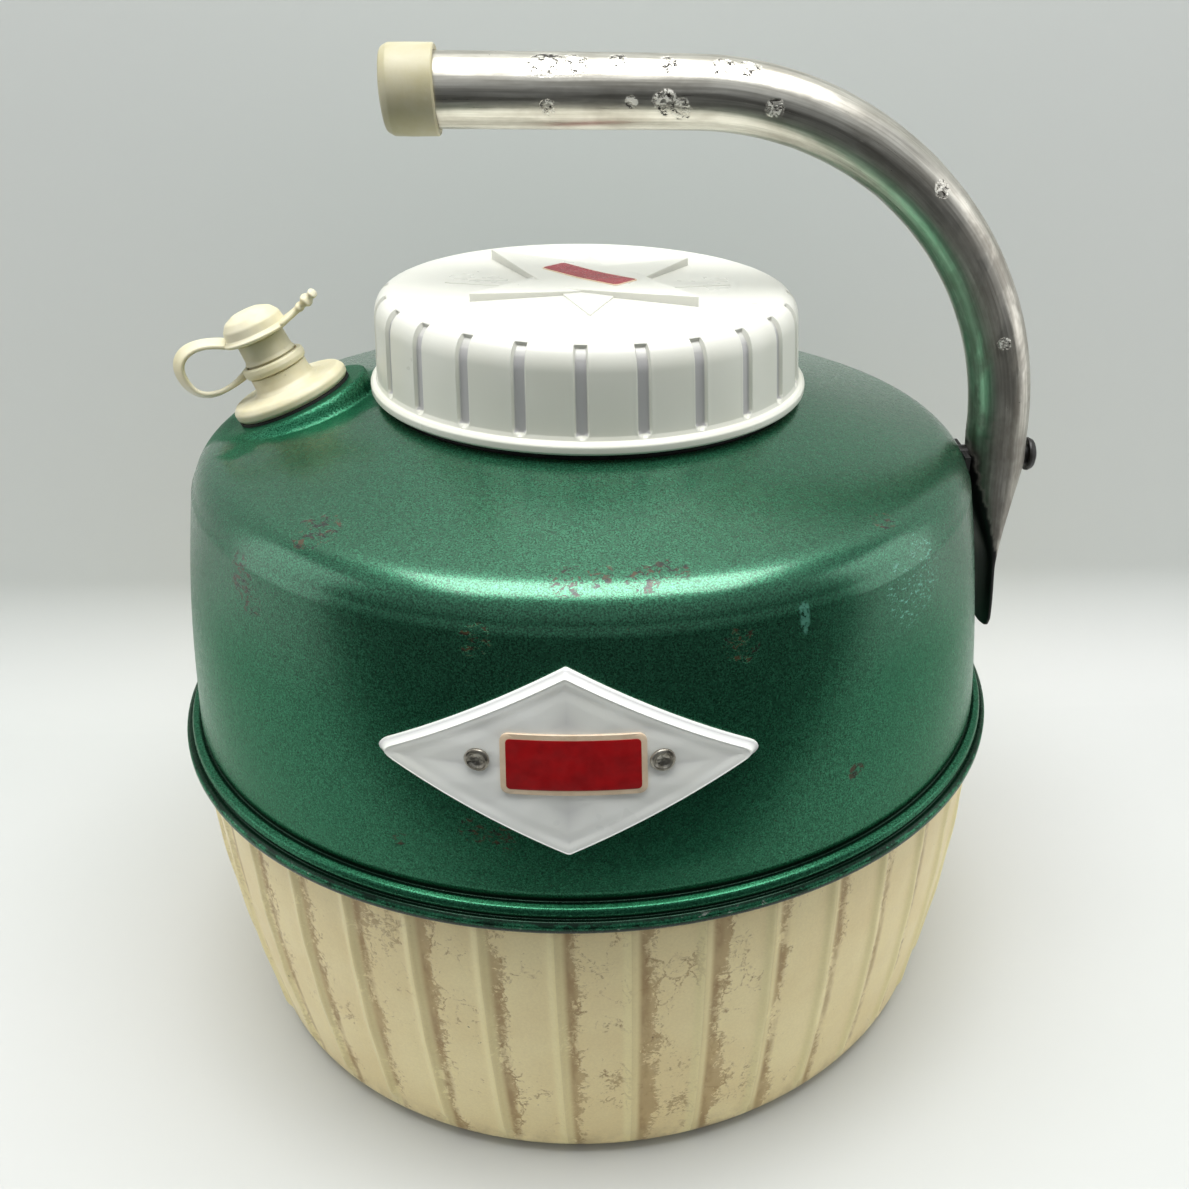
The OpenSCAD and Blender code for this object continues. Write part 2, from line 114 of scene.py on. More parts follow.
def lathe(name, line, az=256, disp=None, closed=True, angle=None):
    """Turns an (r, z) line round the Z axis. az is a count or an array of azimuths in radians (0 at -Y, positive to +X)."""
    line = np.asarray(line, float)
    A = np.linspace(0, 2 * math.pi, az, endpoint=False) if np.isscalar(az) else np.asarray(az)
    R = np.repeat(line[None, :, 0], len(A), 0)
    Z = np.repeat(line[None, :, 1], len(A), 0)
    T = np.repeat(A[:, None], len(line), 1)
    if disp is not None:
        R, Z = disp(R, Z, T)
    X = np.stack([R * np.sin(T), -R * np.cos(T), Z], -1) * MM
    return make(name, X.reshape(-1, 3), grid_faces(len(A), len(line), True, closed), True, angle)


def local_frame(ob, matrix):
    ob.data.transform(matrix)
    return ob


def sweep(name, pts, frames, section, closed_ends=True):
    """pts: centres (n,3); frames: (n,2,3) the two section axes; section: function i -> (m,2) offsets."""
    n = len(pts)
    rings = []
    for i in range(n):
        s = section(i)
        rings.append(pts[i][None, :] + s[:, :1] * frames[i][0][None, :] + s[:, 1:] * frames[i][1][None, :])
    m = len(rings[0])
    V = np.concatenate(rings) * MM
    F = [tuple(f) for f in grid_faces(n, m, False, True)]
    if closed_ends:
        F.append(tuple(range(m)))
        F.append(tuple((n - 1) * m + j for j in range(m - 1, -1, -1)))
    return make(name, V, F, True, 50)


def smoothstep(x):
    x = np.clip(x, 0, 1)
    return x * x * (3 - 2 * x)


# ---------------------------------------------------------------- node helpers
class Mat:
    def __init__(self, name):
        self.m = bpy.data.materials.new(name)
        self.m.use_nodes = True
        self.t = self.m.node_tree
        self.b = self.t.nodes["Principled BSDF"]
        self.co = self.n("ShaderNodeTexCoord").outputs["Object"]

    def n(self, kind, **kw):
        o = self.t.nodes.new(kind)
        for k, v in kw.items():
            if k.startswith("i_"):
                o.inputs[k[2:].replace("_", " ")].default_value = v
            else:
                setattr(o, k, v)
        return o

    def link(self, a, b):
        self.t.links.new(a, b)

    def set(self, **kw):
        for k, v in kw.items():
            self.b.inputs[k.replace("_", " ")].default_value = v
        return self

    def put(self, sock, out):
        self.link(out, self.b.inputs[sock])
        return self

    def scale(self, s, co=None):
        o = self.n("ShaderNodeMapping")
        o.inputs["Scale"].default_value = s
        self.link(co or self.co, o.inputs["Vector"])
        return o.outputs[0]

    def noise(self, scale, detail=3.0, rough=0.5, dist=0.0, co=None):
        o = self.n("ShaderNodeTexNoise")
        o.inputs["Scale"].default_value = scale
        o.inputs["Detail"].default_value = detail
        o.inputs["Roughness"].default_value = rough
        o.inputs["Distortion"].default_value = dist
        self.link(co or self.co, o.inputs["Vector"])
        return o.outputs["Fac"]

    def voronoi(self, scale, feature="F1", co=None, rand=1.0):
        o = self.n("ShaderNodeTexVoronoi", feature=feature)
        o.inputs["Scale"].default_value = scale
        o.inputs["Randomness"].default_value = rand
        self.link(co or self.co, o.inputs["Vector"])
        return o.outputs["Distance"]

    def remap(self, v, a, b, c=0.0, d=1.0, smooth=True):
        o = self.n("ShaderNodeMapRange", interpolation_type="SMOOTHSTEP" if smooth else "LINEAR")
        self.link(v, o.inputs["Value"])
        for k, x in zip(("From Min", "From Max", "To Min", "To Max"), (a, b, c, d)):
            o.inputs[k].default_value = x
        return o.outputs["Result"]

    def math(self, op, a, b=None):
        o = self.n("ShaderNodeMath", operation=op)
        for i, v in enumerate((a, b)):
            if v is None:
                continue
            if isinstance(v, (int, float)):
                o.inputs[i].default_value = v
            else:
                self.link(v, o.inputs[i])
        return o.outputs[0]

    def mix(self, fac, a, b):
        o = self.n("ShaderNodeMix", data_type="RGBA")
        if isinstance(fac, (int, float)):
            o.inputs[0].default_value = fac
        else:
            self.link(fac, o.inputs[0])
        for i, v in ((6, a), (7, b)):
            if isinstance(v, tuple):
                o.inputs[i].default_value = (*v, 1.0) if len(v) == 3 else v
            else:
                self.link(v, o.inputs[i])
        return o.outputs[2]

    def bump(self, h, strength=0.3, dist=0.001, prev=None):
        o = self.n("ShaderNodeBump")
        o.inputs["Strength"].default_value = strength
        o.inputs["Distance"].default_value = dist
        self.link(h, o.inputs["Height"])
        if prev is not None:
            self.link(prev, o.inputs["Normal"])
        return o.outputs["Normal"]

    def sep(self, co=None):
        o = self.n("ShaderNodeSeparateXYZ")
        self.link(co or self.co, o.inputs[0])
        return o.outputs[0], o.outputs[1], o.outputs[2]

    def near(self, p, radius, wobble, amount):
        """1 close to the point p (metres), broken up by the wobble noise."""
        o = self.n("ShaderNodeVectorMath", operation="DISTANCE")
        self.link(self.co, o.inputs[0])
        o.inputs[1].default_value = p
        d = self.math("DIVIDE", o.outputs["Value"], radius)
        w = self.math("MULTIPLY", self.math("SUBTRACT", wobble, 0.5), amount)
        return self.remap(self.math("ADD", d, w), 1.05, 0.85)


def lin(r, g, b):
    f = lambda c: (c / 255 / 12.92) if c / 255 <= 0.04045 else ((c / 255 + 0.055) / 1.055) ** 2.4
    return (f(r), f(g), f(b))


# ---------------------------------------------------------------- profiles shared with the design
def quad3(z, p0, p1, p2):
    (z0, r0), (z1, r1), (z2, r2) = p0, p1, p2
    return (r0 + (z - z0) * (r1 - r0) / (z1 - z0)
            + (z - z0) * (z - z1) * ((r2 - r1) / (z2 - z1) - (r1 - r0) / (z1 - z0)) / (z2 - z0))


def upper_r(z):
    return quad3(z - SEAM_Z, (6.5, SEAM_R - 4.8), (41.3, SEAM_R - 7.9), (77.4, SEAM_R - 13.8))


def lower_r(z):
    return quad3(z, (8, 116.5), (46.4, 122.2), (91.5, 124.7))


crown = np.array([SEAM_R - 16.2, SEAM_Z + 86.2])
hole = np.array([SEAM_R - 64.5, SEAM_Z + 98.7])
wd = np.array([upper_r(crown[1] - 20) - crown[0], -20.0]); wd /= np.linalg.norm(wd)
cd = (hole - crown) / np.linalg.norm(hole - crown)
ca, cb = crown + 8.3 * wd, crown + 8.3 * cd

TILT = math.radians(22)
SP0 = np.array([-86.8, 0.0, 194.0])
SPX = np.array([math.cos(TILT), 0, math.sin(TILT)])
SPM = Matrix.Translation(Vector(SP0 * MM)) @ Matrix.Rotation(-TILT, 4, "Y")


# ---------------------------------------------------------------- materials
def chips(m, spots, wob, amount=0.9):
    out = None
    for (az, z, rad) in spots:
        a = math.radians(az)
        r = upper_r(z) if z < 178 else (112.6 if z < 185 else max(60.0, 112.8 - (z - 184.2) / 0.2588))
        v = m.near((r * math.sin(a) * MM, -r * math.cos(a) * MM, z * MM), rad * MM, wob, amount)
        out = v if out is None else m.math("MAXIMUM", out, v)
    return out


def enamel():
    m = Mat("green_enamel")
    fine = m.noise(2400, 2, 0.75)
    mid = m.noise(420, 3, 0.6)
    big = m.noise(14, 2, 0.5)
    base = m.mix(m.remap(fine, 0.34, 0.68), (0.0008, 0.040, 0.016), (0.046, 0.240, 0.128))
    base = m.mix(m.remap(big, 0.3, 0.75, 0.0, 0.4), base, (0.004, 0.100, 0.046))
    x, y, z = m.sep()
    # small clusters of chips: short rusty and dark flecks inside soft-edged patches
    wob = m.noise(90, 3, 0.6)
    fleck = m.noise(1.0, 4, 0.72, 0.6, co=m.scale((430, 430, 900)))
    spots = [(-40.5, 186.6, 6.5), (-49.5, 172.5, 6), (-47.5, 168.5, 5), (-14, 174, 4), (17, 170, 4.5), (-14.5, 124.4, 4), (-11.5, 123.4, 4), (-3.2, 186, 5), (0.5, 186.4, 4),
             (5.5, 186, 4.5), (9.5, 186.2, 4.5), (44.5, 186, 3.5), (-24, 118, 3), (33, 127, 3), (170, 172, 6), (150, 182, 5), (-120, 150, 5), (110, 140, 5)]
    region = chips(m, spots, wob, 1.5)
    c = m.math("MULTIPLY", region, m.remap(fleck, 0.535, 0.555))
    dark = m.mix(m.remap(m.noise(420, 3, 0.6), 0.42, 0.58), lin(66, 48, 26), lin(3, 8, 5))
    # pinholes scattered over the whole shell
    pin = m.remap(m.noise(1150, 2, 0.5), 0.745, 0.765)
    c = m.math("MAXIMUM", c, m.math("MULTIPLY", pin, 0.8))
    col = m.mix(c, base, dark)
    reg = m.math("MAXIMUM", m.near((0.0800, -0.0860, 0.170), 0.010, m.noise(60, 3, 0.6), 1.2), m.near((0.0850, -0.0790, 0.172), 0.010, m.noise(60, 3, 0.6), 1.2))
    scuff = m.math("MULTIPLY", m.remap(m.noise(1.0, 5, 0.75, 0.3, co=m.scale((520, 520, 1200))), 0.575, 0.60), reg)
    o = m.n("ShaderNodeVectorMath", operation="DISTANCE")
    line = m.scale((1, 1, 0.16))
    m.link(line, o.inputs[0])
    a = math.radians(25.6)
    o.inputs[1].default_value = (upper_r(173) * math.sin(a) * MM, -upper_r(173) * math.cos(a) * MM, 0.173 * 0.16)
    drift = m.math("MULTIPLY", m.math("SUBTRACT", m.noise(120, 3, 0.6), 0.5), 0.0040)
    run = m.math("MULTIPLY", m.remap(m.math("ADD", o.outputs["Value"], drift), 0.0017, 0.0011), m.remap(m.noise(420, 4, 0.7), 0.42, 0.52))
    pale = m.math("MAXIMUM", scuff, m.math("MULTIPLY", run, 0.6))
    col = m.mix(pale, col, lin(110, 180, 160))
    # the rolled lip is worn along its edge: bare bright spots and blackened ones. Below the lip, in the groove over the
    # bead and in the valley between its rolls, the colour is darkened as painted shade
    rad = m.math("SQRT", m.math("ADD", m.math("MULTIPLY", x, x), m.math("MULTIPLY", y, y)))
    wear = m.noise(1.0, 5, 0.78, 0.4, co=m.scale((170, 170, 420)))
    far = m.remap(m.noise(15, 2, 0.5), 0.40, 0.60)
    on_lip = m.math("MULTIPLY", m.remap(rad, 0.1276, 0.1284), m.remap(z, 0.1022, 0.1014))
    edge = m.math("MULTIPLY", m.math("MULTIPLY", on_lip, m.remap(wear, 0.625, 0.655)), far)
    # soot on worn spots of the lip, together with painted shade over all of the bead below 100.4 mm
    soot_and_underside_shade = m.math("MULTIPLY", m.math("MAXIMUM", m.math("MULTIPLY", on_lip, m.remap(wear, 0.50, 0.44)), m.remap(z, 0.1004, 0.0994)), 1.0)
    col = m.mix(m.math("MULTIPLY", soot_and_underside_shade, 0.8), col, lin(12, 22, 16))
    col = m.mix(edge, col, lin(150, 160, 150))
    # painted shade under the bead: the lowest band is darkened
    low = m.remap(z, 0.1002, 0.0993)
    col = m.mix(m.math("MULTIPLY", low, 0.9), col, lin(9, 14, 10))
    # painted shade in the groove where the wall meets the bead
    groove_shade = m.math("MULTIPLY", m.remap(rad, 0.1254, 0.1244), m.math("MULTIPLY", m.remap(z, 0.1036, 0.1042), m.remap(z, 0.1068, 0.1056)))
    col = m.mix(m.math("MULTIPLY", groove_shade, 0.85), col, lin(6, 16, 11))
    # painted shade in the valley between the two rolls of the bead
    valley = m.math("MULTIPLY", m.math("MULTIPLY", m.remap(z, 0.1009, 0.1014), m.remap(z, 0.1026, 0.1021)), m.remap(rad, 0.1250, 0.1256))
    col = m.mix(m.math("MULTIPLY", valley, 0.85), col, lin(5, 14, 9))
    m.put("Base Color", col)
    # the wall has dulled with handling, the shoulder kept its gloss
    boss = m.near((-0.0860, 0.0, 0.193), 0.030, wob, 1.2)
    m.put("Coat Weight", m.math("MULTIPLY", m.math("SUBTRACT", 1.0, m.math("MULTIPLY", boss, 0.8)), m.remap(m.math("ADD", z, m.math("MULTIPLY", m.noise(20, 2, 0.5), 0.010)), 0.150, 0.190, 0.22, 1.0)))
    m.set(Coat_Roughness=0.22, Specular_IOR_Level=0.4)
    m.b.inputs["Specular Tint"].default_value = (0.45, 0.66, 0.52, 1.0)
    m.b.inputs["Coat IOR"].default_value = 1.5
    # metallic drops in the chips and in the painted shade under the bead
    m.put("Metallic", m.remap(m.math("MAXIMUM", c, low), 0.0, 1.0, 0.78, 0.1))
    m.put("Roughness", m.math("ADD", m.remap(mid, 0.2, 0.8, 0.24, 0.32), m.math("MULTIPLY", m.math("MAXIMUM", m.math("MAXIMUM", c, pale), m.math("MULTIPLY", boss, 0.6)), 0.3)))
    n1 = m.bump(m.noise(2400, 2, 0.7), 0.16, 0.0002)
    n1 = m.bump(m.noise(240, 2, 0.5), 0.12, 0.0004, n1)
    n1 = m.bump(m.math("SUBTRACT", 1.0, c), 0.5, 0.0003, n1)
    m.put("Normal", n1)
    m.link(m.bump(m.noise(260, 2, 0.5), 0.10, 0.0004), m.b.inputs["Coat Normal"])
    return m.m


def tan():
    m = Mat("tan_plastic")
    x, y, z = m.sep()
    az = m.math("ARCTAN2", x, m.math("MULTIPLY", y, -1.0))
    # place between two ribs: 0 at one rib and 1 at the next
    ph = m.math("FRACT", m.math("DIVIDE", m.math("SUBTRACT", az, math.radians(RIB0 - 360)), math.radians(RIB_STEP)))
    clean = m.mix(m.remap(m.noise(30, 3, 0.6), 0.3, 0.7), lin(252, 235, 182), lin(243, 222, 168))
    # where the old varnish has aged: patches of panels, more to the front and near the seam
    patch = m.noise(24, 3, 0.6, 0.3)
    top = m.remap(z, 0.055, 0.098, 0.0, 0.13, False)
    front = m.remap(m.math("ABSOLUTE", m.math("ADD", az, 0.12)), 0.35, 0.9, 0.06, -0.14)
    age = m.math("ADD", m.math("ADD", m.math("MULTIPLY", m.math("SUBTRACT", patch, 0.5), 1.1), top), front)
    warp = m.noise(1.0, 5, 0.7, 0.5, co=m.scale((150, 150, 75)))
    side_r = m.remap(ph, 0.06, 0.46, 0.30, -0.14, False)
    v = m.math("ADD", m.math("ADD", side_r, age), m.math("MULTIPLY", warp, 0.75))
    # feathered edge
    fea = m.noise(1.0, 4, 0.75, 1.0, co=m.scale((520, 520, 700)))
    v = m.math("ADD", v, m.math("MULTIPLY", m.math("SUBTRACT", fea, 0.5), 0.75))
    old = m.remap(v, 0.52, 0.60)
    # thin branching cracks that run out of the stained edge
    cell = m.n("ShaderNodeTexVoronoi", feature="DISTANCE_TO_EDGE")
    cell.inputs["Scale"].default_value = 1.0
    wv = m.n("ShaderNodeVectorMath", operation="ADD")
    sv = m.n("ShaderNodeVectorMath", operation="SCALE")
    nz = m.n("ShaderNodeTexNoise"); nz.inputs["Scale"].default_value = 240; nz.inputs["Detail"].default_value = 4
    m.link(m.co, nz.inputs["Vector"])
    m.link(nz.outputs["Color"], sv.inputs[0]); sv.inputs["Scale"].default_value = 0.006
    m.link(m.co, wv.inputs[0]); m.link(sv.outputs[0], wv.inputs[1])
    m.link(m.scale((210, 210, 130), wv.outputs[0]), cell.inputs["Vector"])
    crack = m.math("MULTIPLY", m.remap(cell.outputs["Distance"], 0.075, 0.02), m.remap(v, 0.34, 0.50))
    crack = m.math("MULTIPLY", crack, m.remap(m.noise(75, 3, 0.6), 0.44, 0.56))
    stain = m.math("MAXIMUM", m.math("MULTIPLY", old, 0.72), m.math("MULTIPLY", crack, 0.85))
    brown = m.mix(m.remap(m.noise(60, 3, 0.6), 0.3, 0.7), lin(166, 132, 84), lin(188, 158, 108))
    col = m.mix(stain, clean, brown)
    rim = m.math("MULTIPLY", m.remap(v, 0.485, 0.53), m.remap(v, 0.60, 0.54))
    col = m.mix(m.math("MULTIPLY", rim, m.remap(m.noise(500, 3, 0.6), 0.4, 0.7, 0.0, 0.55)), col, lin(140, 104, 62))
    # the ribs are paler and yellower, partly their own colour and partly a painted highlight along the crests; a darker
    # brown line runs down one flank
    rib_tone_and_highlight = m.math("MAXIMUM", m.remap(ph, 0.16, 0.07), m.remap(ph, 0.84, 0.93))
    col = m.mix(m.math("MULTIPLY", rib_tone_and_highlight, 0.66), col, lin(250, 237, 181))
    flank = m.math("MULTIPLY", m.remap(ph, 0.12, 0.17), m.remap(ph, 0.30, 0.20))
    flank = m.math("MULTIPLY", flank, m.remap(m.noise(1.0, 4, 0.7, co=m.scale((90, 90, 50))), 0.38, 0.62))
    col = m.mix(m.math("MULTIPLY", flank, 0.60), col, lin(152, 116, 68))
    fine = m.remap(m.noise(1300, 3, 0.7), 0.25, 0.75)
    col = m.mix(m.math("MULTIPLY", fine, 0.14), col, lin(180, 156, 112))
    spots = m.math("MULTIPLY", m.remap(m.noise(420, 3, 0.6), 0.735, 0.75), 0.7)
    col = m.mix(spots, col, lin(96, 74, 46))
    under = m.math("MULTIPLY", m.remap(z, 0.093, 0.0985), m.remap(m.noise(1.0, 4, 0.65, co=m.scale((90, 90, 300))), 0.3, 0.6))
    col = m.mix(m.math("MULTIPLY", under, 0.55), col, lin(150, 112, 66))
    # darker towards the bottom, in noisy patches
    bottom_darkening = m.math("MULTIPLY", m.remap(z, 0.014, 0.001), m.remap(m.noise(120, 4, 0.6), 0.35, 0.7))
    col = m.mix(m.math("MULTIPLY", bottom_darkening, 0.5), col, lin(132, 112, 78))
    m.put("Base Color", col)
    m.put("Roughness", m.math("ADD", m.remap(m.noise(80, 3, 0.6), 0.3, 0.7, 0.36, 0.48), m.math("MULTIPLY", old, 0.06)))
    m.set(Specular_IOR_Level=0.4, Coat_Weight=0.08, Coat_Roughness=0.25)
    n1 = m.bump(stain, 0.22, 0.00012)
    n1 = m.bump(m.noise(45, 2, 0.5), 0.22, 0.0015, n1)
    n1 = m.bump(m.noise(900, 3, 0.6), 0.06, 0.0002, n1)
    m.put("Normal", n1)
    return m.m


def white(name="white_plastic", tone=(233, 233, 222), marks=True):
    m = Mat(name)
    col = m.mix(m.remap(m.noise(18, 3, 0.6), 0.3, 0.7), lin(*tone), lin(tone[0] - 7, tone[1] - 7, tone[2] - 10))
    if marks:
        dirt = m.math("MULTIPLY", m.remap(m.noise(150, 5, 0.7), 0.69, 0.74), m.remap(m.noise(23, 2, 0.5), 0.5, 0.62))
        col = m.mix(m.math("MULTIPLY", dirt, 0.16), col, lin(150, 140, 122))
    # painted shade: faces flagged by this attribute (the lid slots, the badge below its top face, the star blades'
    # sides) are darkened
    low = m.n("ShaderNodeAttribute", attribute_name="recess_shade").outputs["Fac"]
    col = m.mix(m.math("MULTIPLY", low, 0.8), col, lin(176, 174, 178))
    x, y, z = m.sep()
    # painted shade: the lid's top, above 221.5 mm, is made a little darker than its sides, against the strong top light
    col = m.mix(m.math("MULTIPLY", m.remap(z, 0.2215, 0.2255), 0.8), col, lin(213, 213, 204))
    m.put("Base Color", col)
    m.put("Roughness", m.remap(m.noise(60, 3, 0.6), 0.3, 0.7, 0.27, 0.37))
    m.set(Specular_IOR_Level=0.5, Subsurface_Weight=0.06, Subsurface_Scale=0.004)
    m.b.inputs["Subsurface Radius"].default_value = (1, 0.9, 0.8)
    n1 = m.bump(m.noise(70, 2, 0.5), 0.10, 0.0008)
    n1 = m.bump(m.noise(1500, 2, 0.6), 0.05, 0.00015, n1)
    m.put("Normal", n1)
    return m.m


def cream(name="cream_plastic", tone=(219, 213, 187), dirt=0.5):
    m = Mat(name)
    col = m.mix(m.remap(m.noise(70, 4, 0.6), 0.3, 0.7), lin(*tone), lin(tone[0] - 10, tone[1] - 12, tone[2] - 22))
    d = m.math("MULTIPLY", m.remap(m.noise(420, 5, 0.75), 0.62, 0.7), m.remap(m.noise(60, 2, 0.5), 0.48, 0.6))
    col = m.mix(m.math("MULTIPLY", d, dirt), col, lin(140, 126, 92))
    m.put("Base Color", col)
    m.put("Roughness", m.remap(m.noise(120, 3, 0.6), 0.3, 0.7, 0.38, 0.5))
    m.set(Specular_IOR_Level=0.45, Subsurface_Weight=0.15, Subsurface_Scale=0.003)
    m.b.inputs["Subsurface Radius"].default_value = (1, 0.8, 0.5)
    m.put("Normal", m.bump(m.noise(900, 3, 0.6), 0.12, 0.0002))
    return m.m


def aluminium():
    m = Mat("handle_aluminium")
    uv = m.n("ShaderNodeTexCoord").outputs["UV"]
    streak = m.noise(1.0, 4, 0.65, 0.0, co=m.scale((22, 900, 1), uv))
    blot = m.noise(1.0, 4, 0.6, 0.0, co=m.scale((60, 120, 1), uv))
    col = m.mix(m.remap(streak, 0.25, 0.75), lin(188, 184, 173), lin(234, 231, 221))
    col = m.mix(m.remap(blot, 0.35, 0.75, 0.0, 0.5), col, lin(140, 132, 118))
    x, y, z = m.sep()
    # pits and dings, thickest along the upper part of the grip
    upper = m.remap(z, 0.270, 0.282)
    wob = m.noise(110, 3, 0.6)
    spot = None
    for px, py, pz, rr in ((-0.0095, -0.0062, 0.2862, 0.0050), (-0.0025, -0.0060, 0.2864, 0.0042), (0.0085, -0.0050, 0.287, 0.0026), (0.0215, -0.0062, 0.286, 0.0030), (0.0365, -0.0058, 0.2856, 0.0036),
                           (0.0435, -0.0056, 0.2855, 0.0032), (0.021, -0.0094, 0.2772, 0.0036), (0.025, -0.0092, 0.2752, 0.0030), (0.050, -0.0090, 0.2765, 0.0026), (-0.010, -0.0088, 0.2748, 0.0022),
                           (0.012, -0.0094, 0.2768, 0.0016), (0.098, -0.0082, 0.256, 0.0026), (0.122, -0.0085, 0.213, 0.0022)):
        q = m.near((px, py, pz), rr, wob, 1.4)
        spot = q if spot is None else m.math("MAXIMUM", spot, q)
    flk = m.noise(1.0, 4, 0.75, 0.5, co=m.scale((520, 700, 700)))
    ding = m.math("MULTIPLY", m.remap(flk, 0.54, 0.57), spot)
    pits = m.math("MULTIPLY", m.remap(flk, 0.455, 0.43), spot)
    loose = m.math("MULTIPLY", m.remap(m.noise(760, 3, 0.65), 0.70, 0.72), m.remap(m.noise(40, 2, 0.5), 0.42, 0.6))
    pits = m.math("MAXIMUM", pits, m.math("MULTIPLY", loose, 0.85))
    col = m.mix(ding, col, lin(250, 248, 240))
    col = m.mix(pits, col, lin(34, 30, 24))
    # tarnish towards the foot; the face that sits against the body is painted black as painted shadow, where that face
    # lies in shade
    foot = m.math("MULTIPLY", m.remap(z, 0.215, 0.165), m.remap(m.noise(90, 4, 0.6), 0.25, 0.7, 0.35, 0.9))
    col = m.mix(m.math("MULTIPLY", foot, 0.55), col, lin(120, 116, 109))
    legm = m.math("MULTIPLY", m.remap(x, 0.085, 0.118), m.remap(m.noise(1.0, 4, 0.65, 0.3, co=m.scale((75, 75, 40))), 0.44, 0.60))
    col = m.mix(m.math("MULTIPLY", legm, 0.45), col, lin(104, 98, 92))
    nrm = m.n("ShaderNodeNewGeometry").outputs["Normal"]
    att = m.n("ShaderNodeAttribute", attribute_name="inner")
    inner = att.outputs["Fac"]
    col = m.mix(inner, col, lin(10, 10, 9))
    m.put("Base Color", col)
    m.put("Metallic", m.math("SUBTRACT", 1.0, m.math("MULTIPLY", m.math("MAXIMUM", inner, m.math("MULTIPLY", pits, 0.9)), 1.0)))
    r = m.remap(streak, 0.2, 0.8, 0.26, 0.37)
    r = m.math("ADD", r, m.math("MULTIPLY", m.math("MAXIMUM", m.math("MAXIMUM", foot, legm), inner), 0.2))
    m.put("Roughness", m.math("ADD", r, m.math("MULTIPLY", m.math("MAXIMUM", pits, ding), 0.3)))
    n1 = m.bump(streak, 0.10, 0.0002)
    n1 = m.bump(m.noise(70, 3, 0.6), 0.16, 0.0010, n1)
    n1 = m.bump(m.math("SUBTRACT", 1.0, pits), 0.5, 0.0004, n1)
    n1 = m.bump(ding, 0.4, 0.0003, n1)
    m.put("Normal", n1)
    return m.m


def simple(name, c0, c1, rough=(0.4, 0.6), metal=0.0, scale=120, bump=0.15, spec=0.5):
    m = Mat(name)
    m.put("Base Color", m.mix(m.remap(m.noise(scale, 4, 0.6), 0.3, 0.7), lin(*c0), lin(*c1)))
    m.put("Roughness", m.remap(m.noise(scale * 1.7, 3, 0.6), 0.3, 0.7, *rough))
    m.set(Metallic=metal, Specular_IOR_Level=spec)
    m.put("Normal", m.bump(m.noise(scale * 6, 3, 0.6), bump, 0.0003))
    return m.m


MATS = {
    "green": enamel(), "tan": tan(), "white": white(), "badge": white("badge_white", (247, 248, 242), True),
    "cream": cream(), "cap_cream": cream("end_cap_cream", (184, 179, 154), 0.7), "alu": aluminium(),
    "red": simple("red_label", (176, 12, 18), (150, 8, 14), (0.28, 0.4), 0, 200, 0.06),
    "lid_red": simple("lid_label_red", (158, 34, 48), (142, 24, 38), (0.24, 0.34), 0, 220, 0.06),
    "label_edge": simple("label_border", (228, 206, 178), (214, 190, 160), (0.35, 0.5), 0, 240, 0.06),
    "rivet": simple("rivet_metal", (176, 172, 162), (120, 114, 102), (0.25, 0.42), 1.0, 380, 0.25),
    "black": simple("black_metal", (16, 15, 14), (30, 27, 24), (0.3, 0.5), 0.0, 300, 0.2),
    "rubber": simple("black_rubber", (14, 14, 14), (26, 25, 24), (0.6, 0.8), 0.0, 200, 0.2),
    "seal": simple("seal_rubber", (206, 200, 176), (190, 182, 156), (0.5, 0.7), 0.0, 160, 0.15),
    "foam": simple("foam", (226, 205, 150), (206, 182, 124), (0.8, 0.95), 0.0, 420, 0.6),
    "liner": simple("liner_plastic", (232, 230, 220), (220, 217, 204), (0.25, 0.4), 0.0, 60, 0.08),
    "wood": simple("wood_block", (156, 116, 72), (120, 84, 48), (0.6, 0.8), 0.0, 90, 0.3),
    "zinc": simple("zinc_steel", (176, 176, 172), (140, 140, 136), (0.3, 0.45), 1.0, 300, 0.2),
}


def dress(ob, key):
    ob.data.materials.clear()
    ob.data.materials.append(MATS[key])
    return ob


# ---------------------------------------------------------------- lower shell
def rib_profile(T):
    p = np.degrees(T) - RIB0
    d = (p + RIB_STEP / 2) % RIB_STEP - RIB_STEP / 2
    s = np.radians(d) * 121.0                       # millimetres from the rib's centre
    ridge = np.exp(-(np.abs(s) / 1.45) ** 2.4)
    valley = np.exp(-((s - 3.6) / 1.9) ** 2) * 0.24 + np.exp(-((s + 3.6) / 1.9) ** 2) * 0.14
    return ridge, valley


out = [(99.0, 0.0, 1.0)]
arc = [(108.5 + 8 * math.cos(math.radians(a)), 8 + 8 * math.sin(math.radians(a))) for a in np.linspace(-90, -6, 15)]
wall = [(lower_r(z), z) for z in np.linspace(9, 100.8, 60)]
inner = [(lower_r(z) - 2.2, z) for z in np.linspace(100.8, 9, 24)] + [(108.5 + 5.8 * math.cos(math.radians(a)), 8 + 5.8 * math.sin(math.radians(a))) for a in np.linspace(-6, -90, 8)]
line = [(0.0, 0.0), (28, 0.0), (29.6, 1.6), (95, 1.6), (98, 0.05)] + arc + wall + inner + [(100, 4.8), (0.0, 4.8)]
line = np.array(line)
is_out = np.zeros(len(line)); is_out[5:5 + len(arc) + len(wall)] = 1.0


def ribs(R, Z, T):
    ridge, valley = rib_profile(T)
    k = smoothstep((Z - 7.5) / 4.5)
    wav = 0.16 * np.sin(T * 5 + 0.7) + 0.1 * np.sin(T * 9 + Z * 0.05)
    rag = 1.0 + 0.12 * np.sin(Z * 0.23 + T * 37.0)
    return R + is_out[None, :] * k * (1.0 * ridge * rag - valley * 0.55 + wav * 0.6), Z


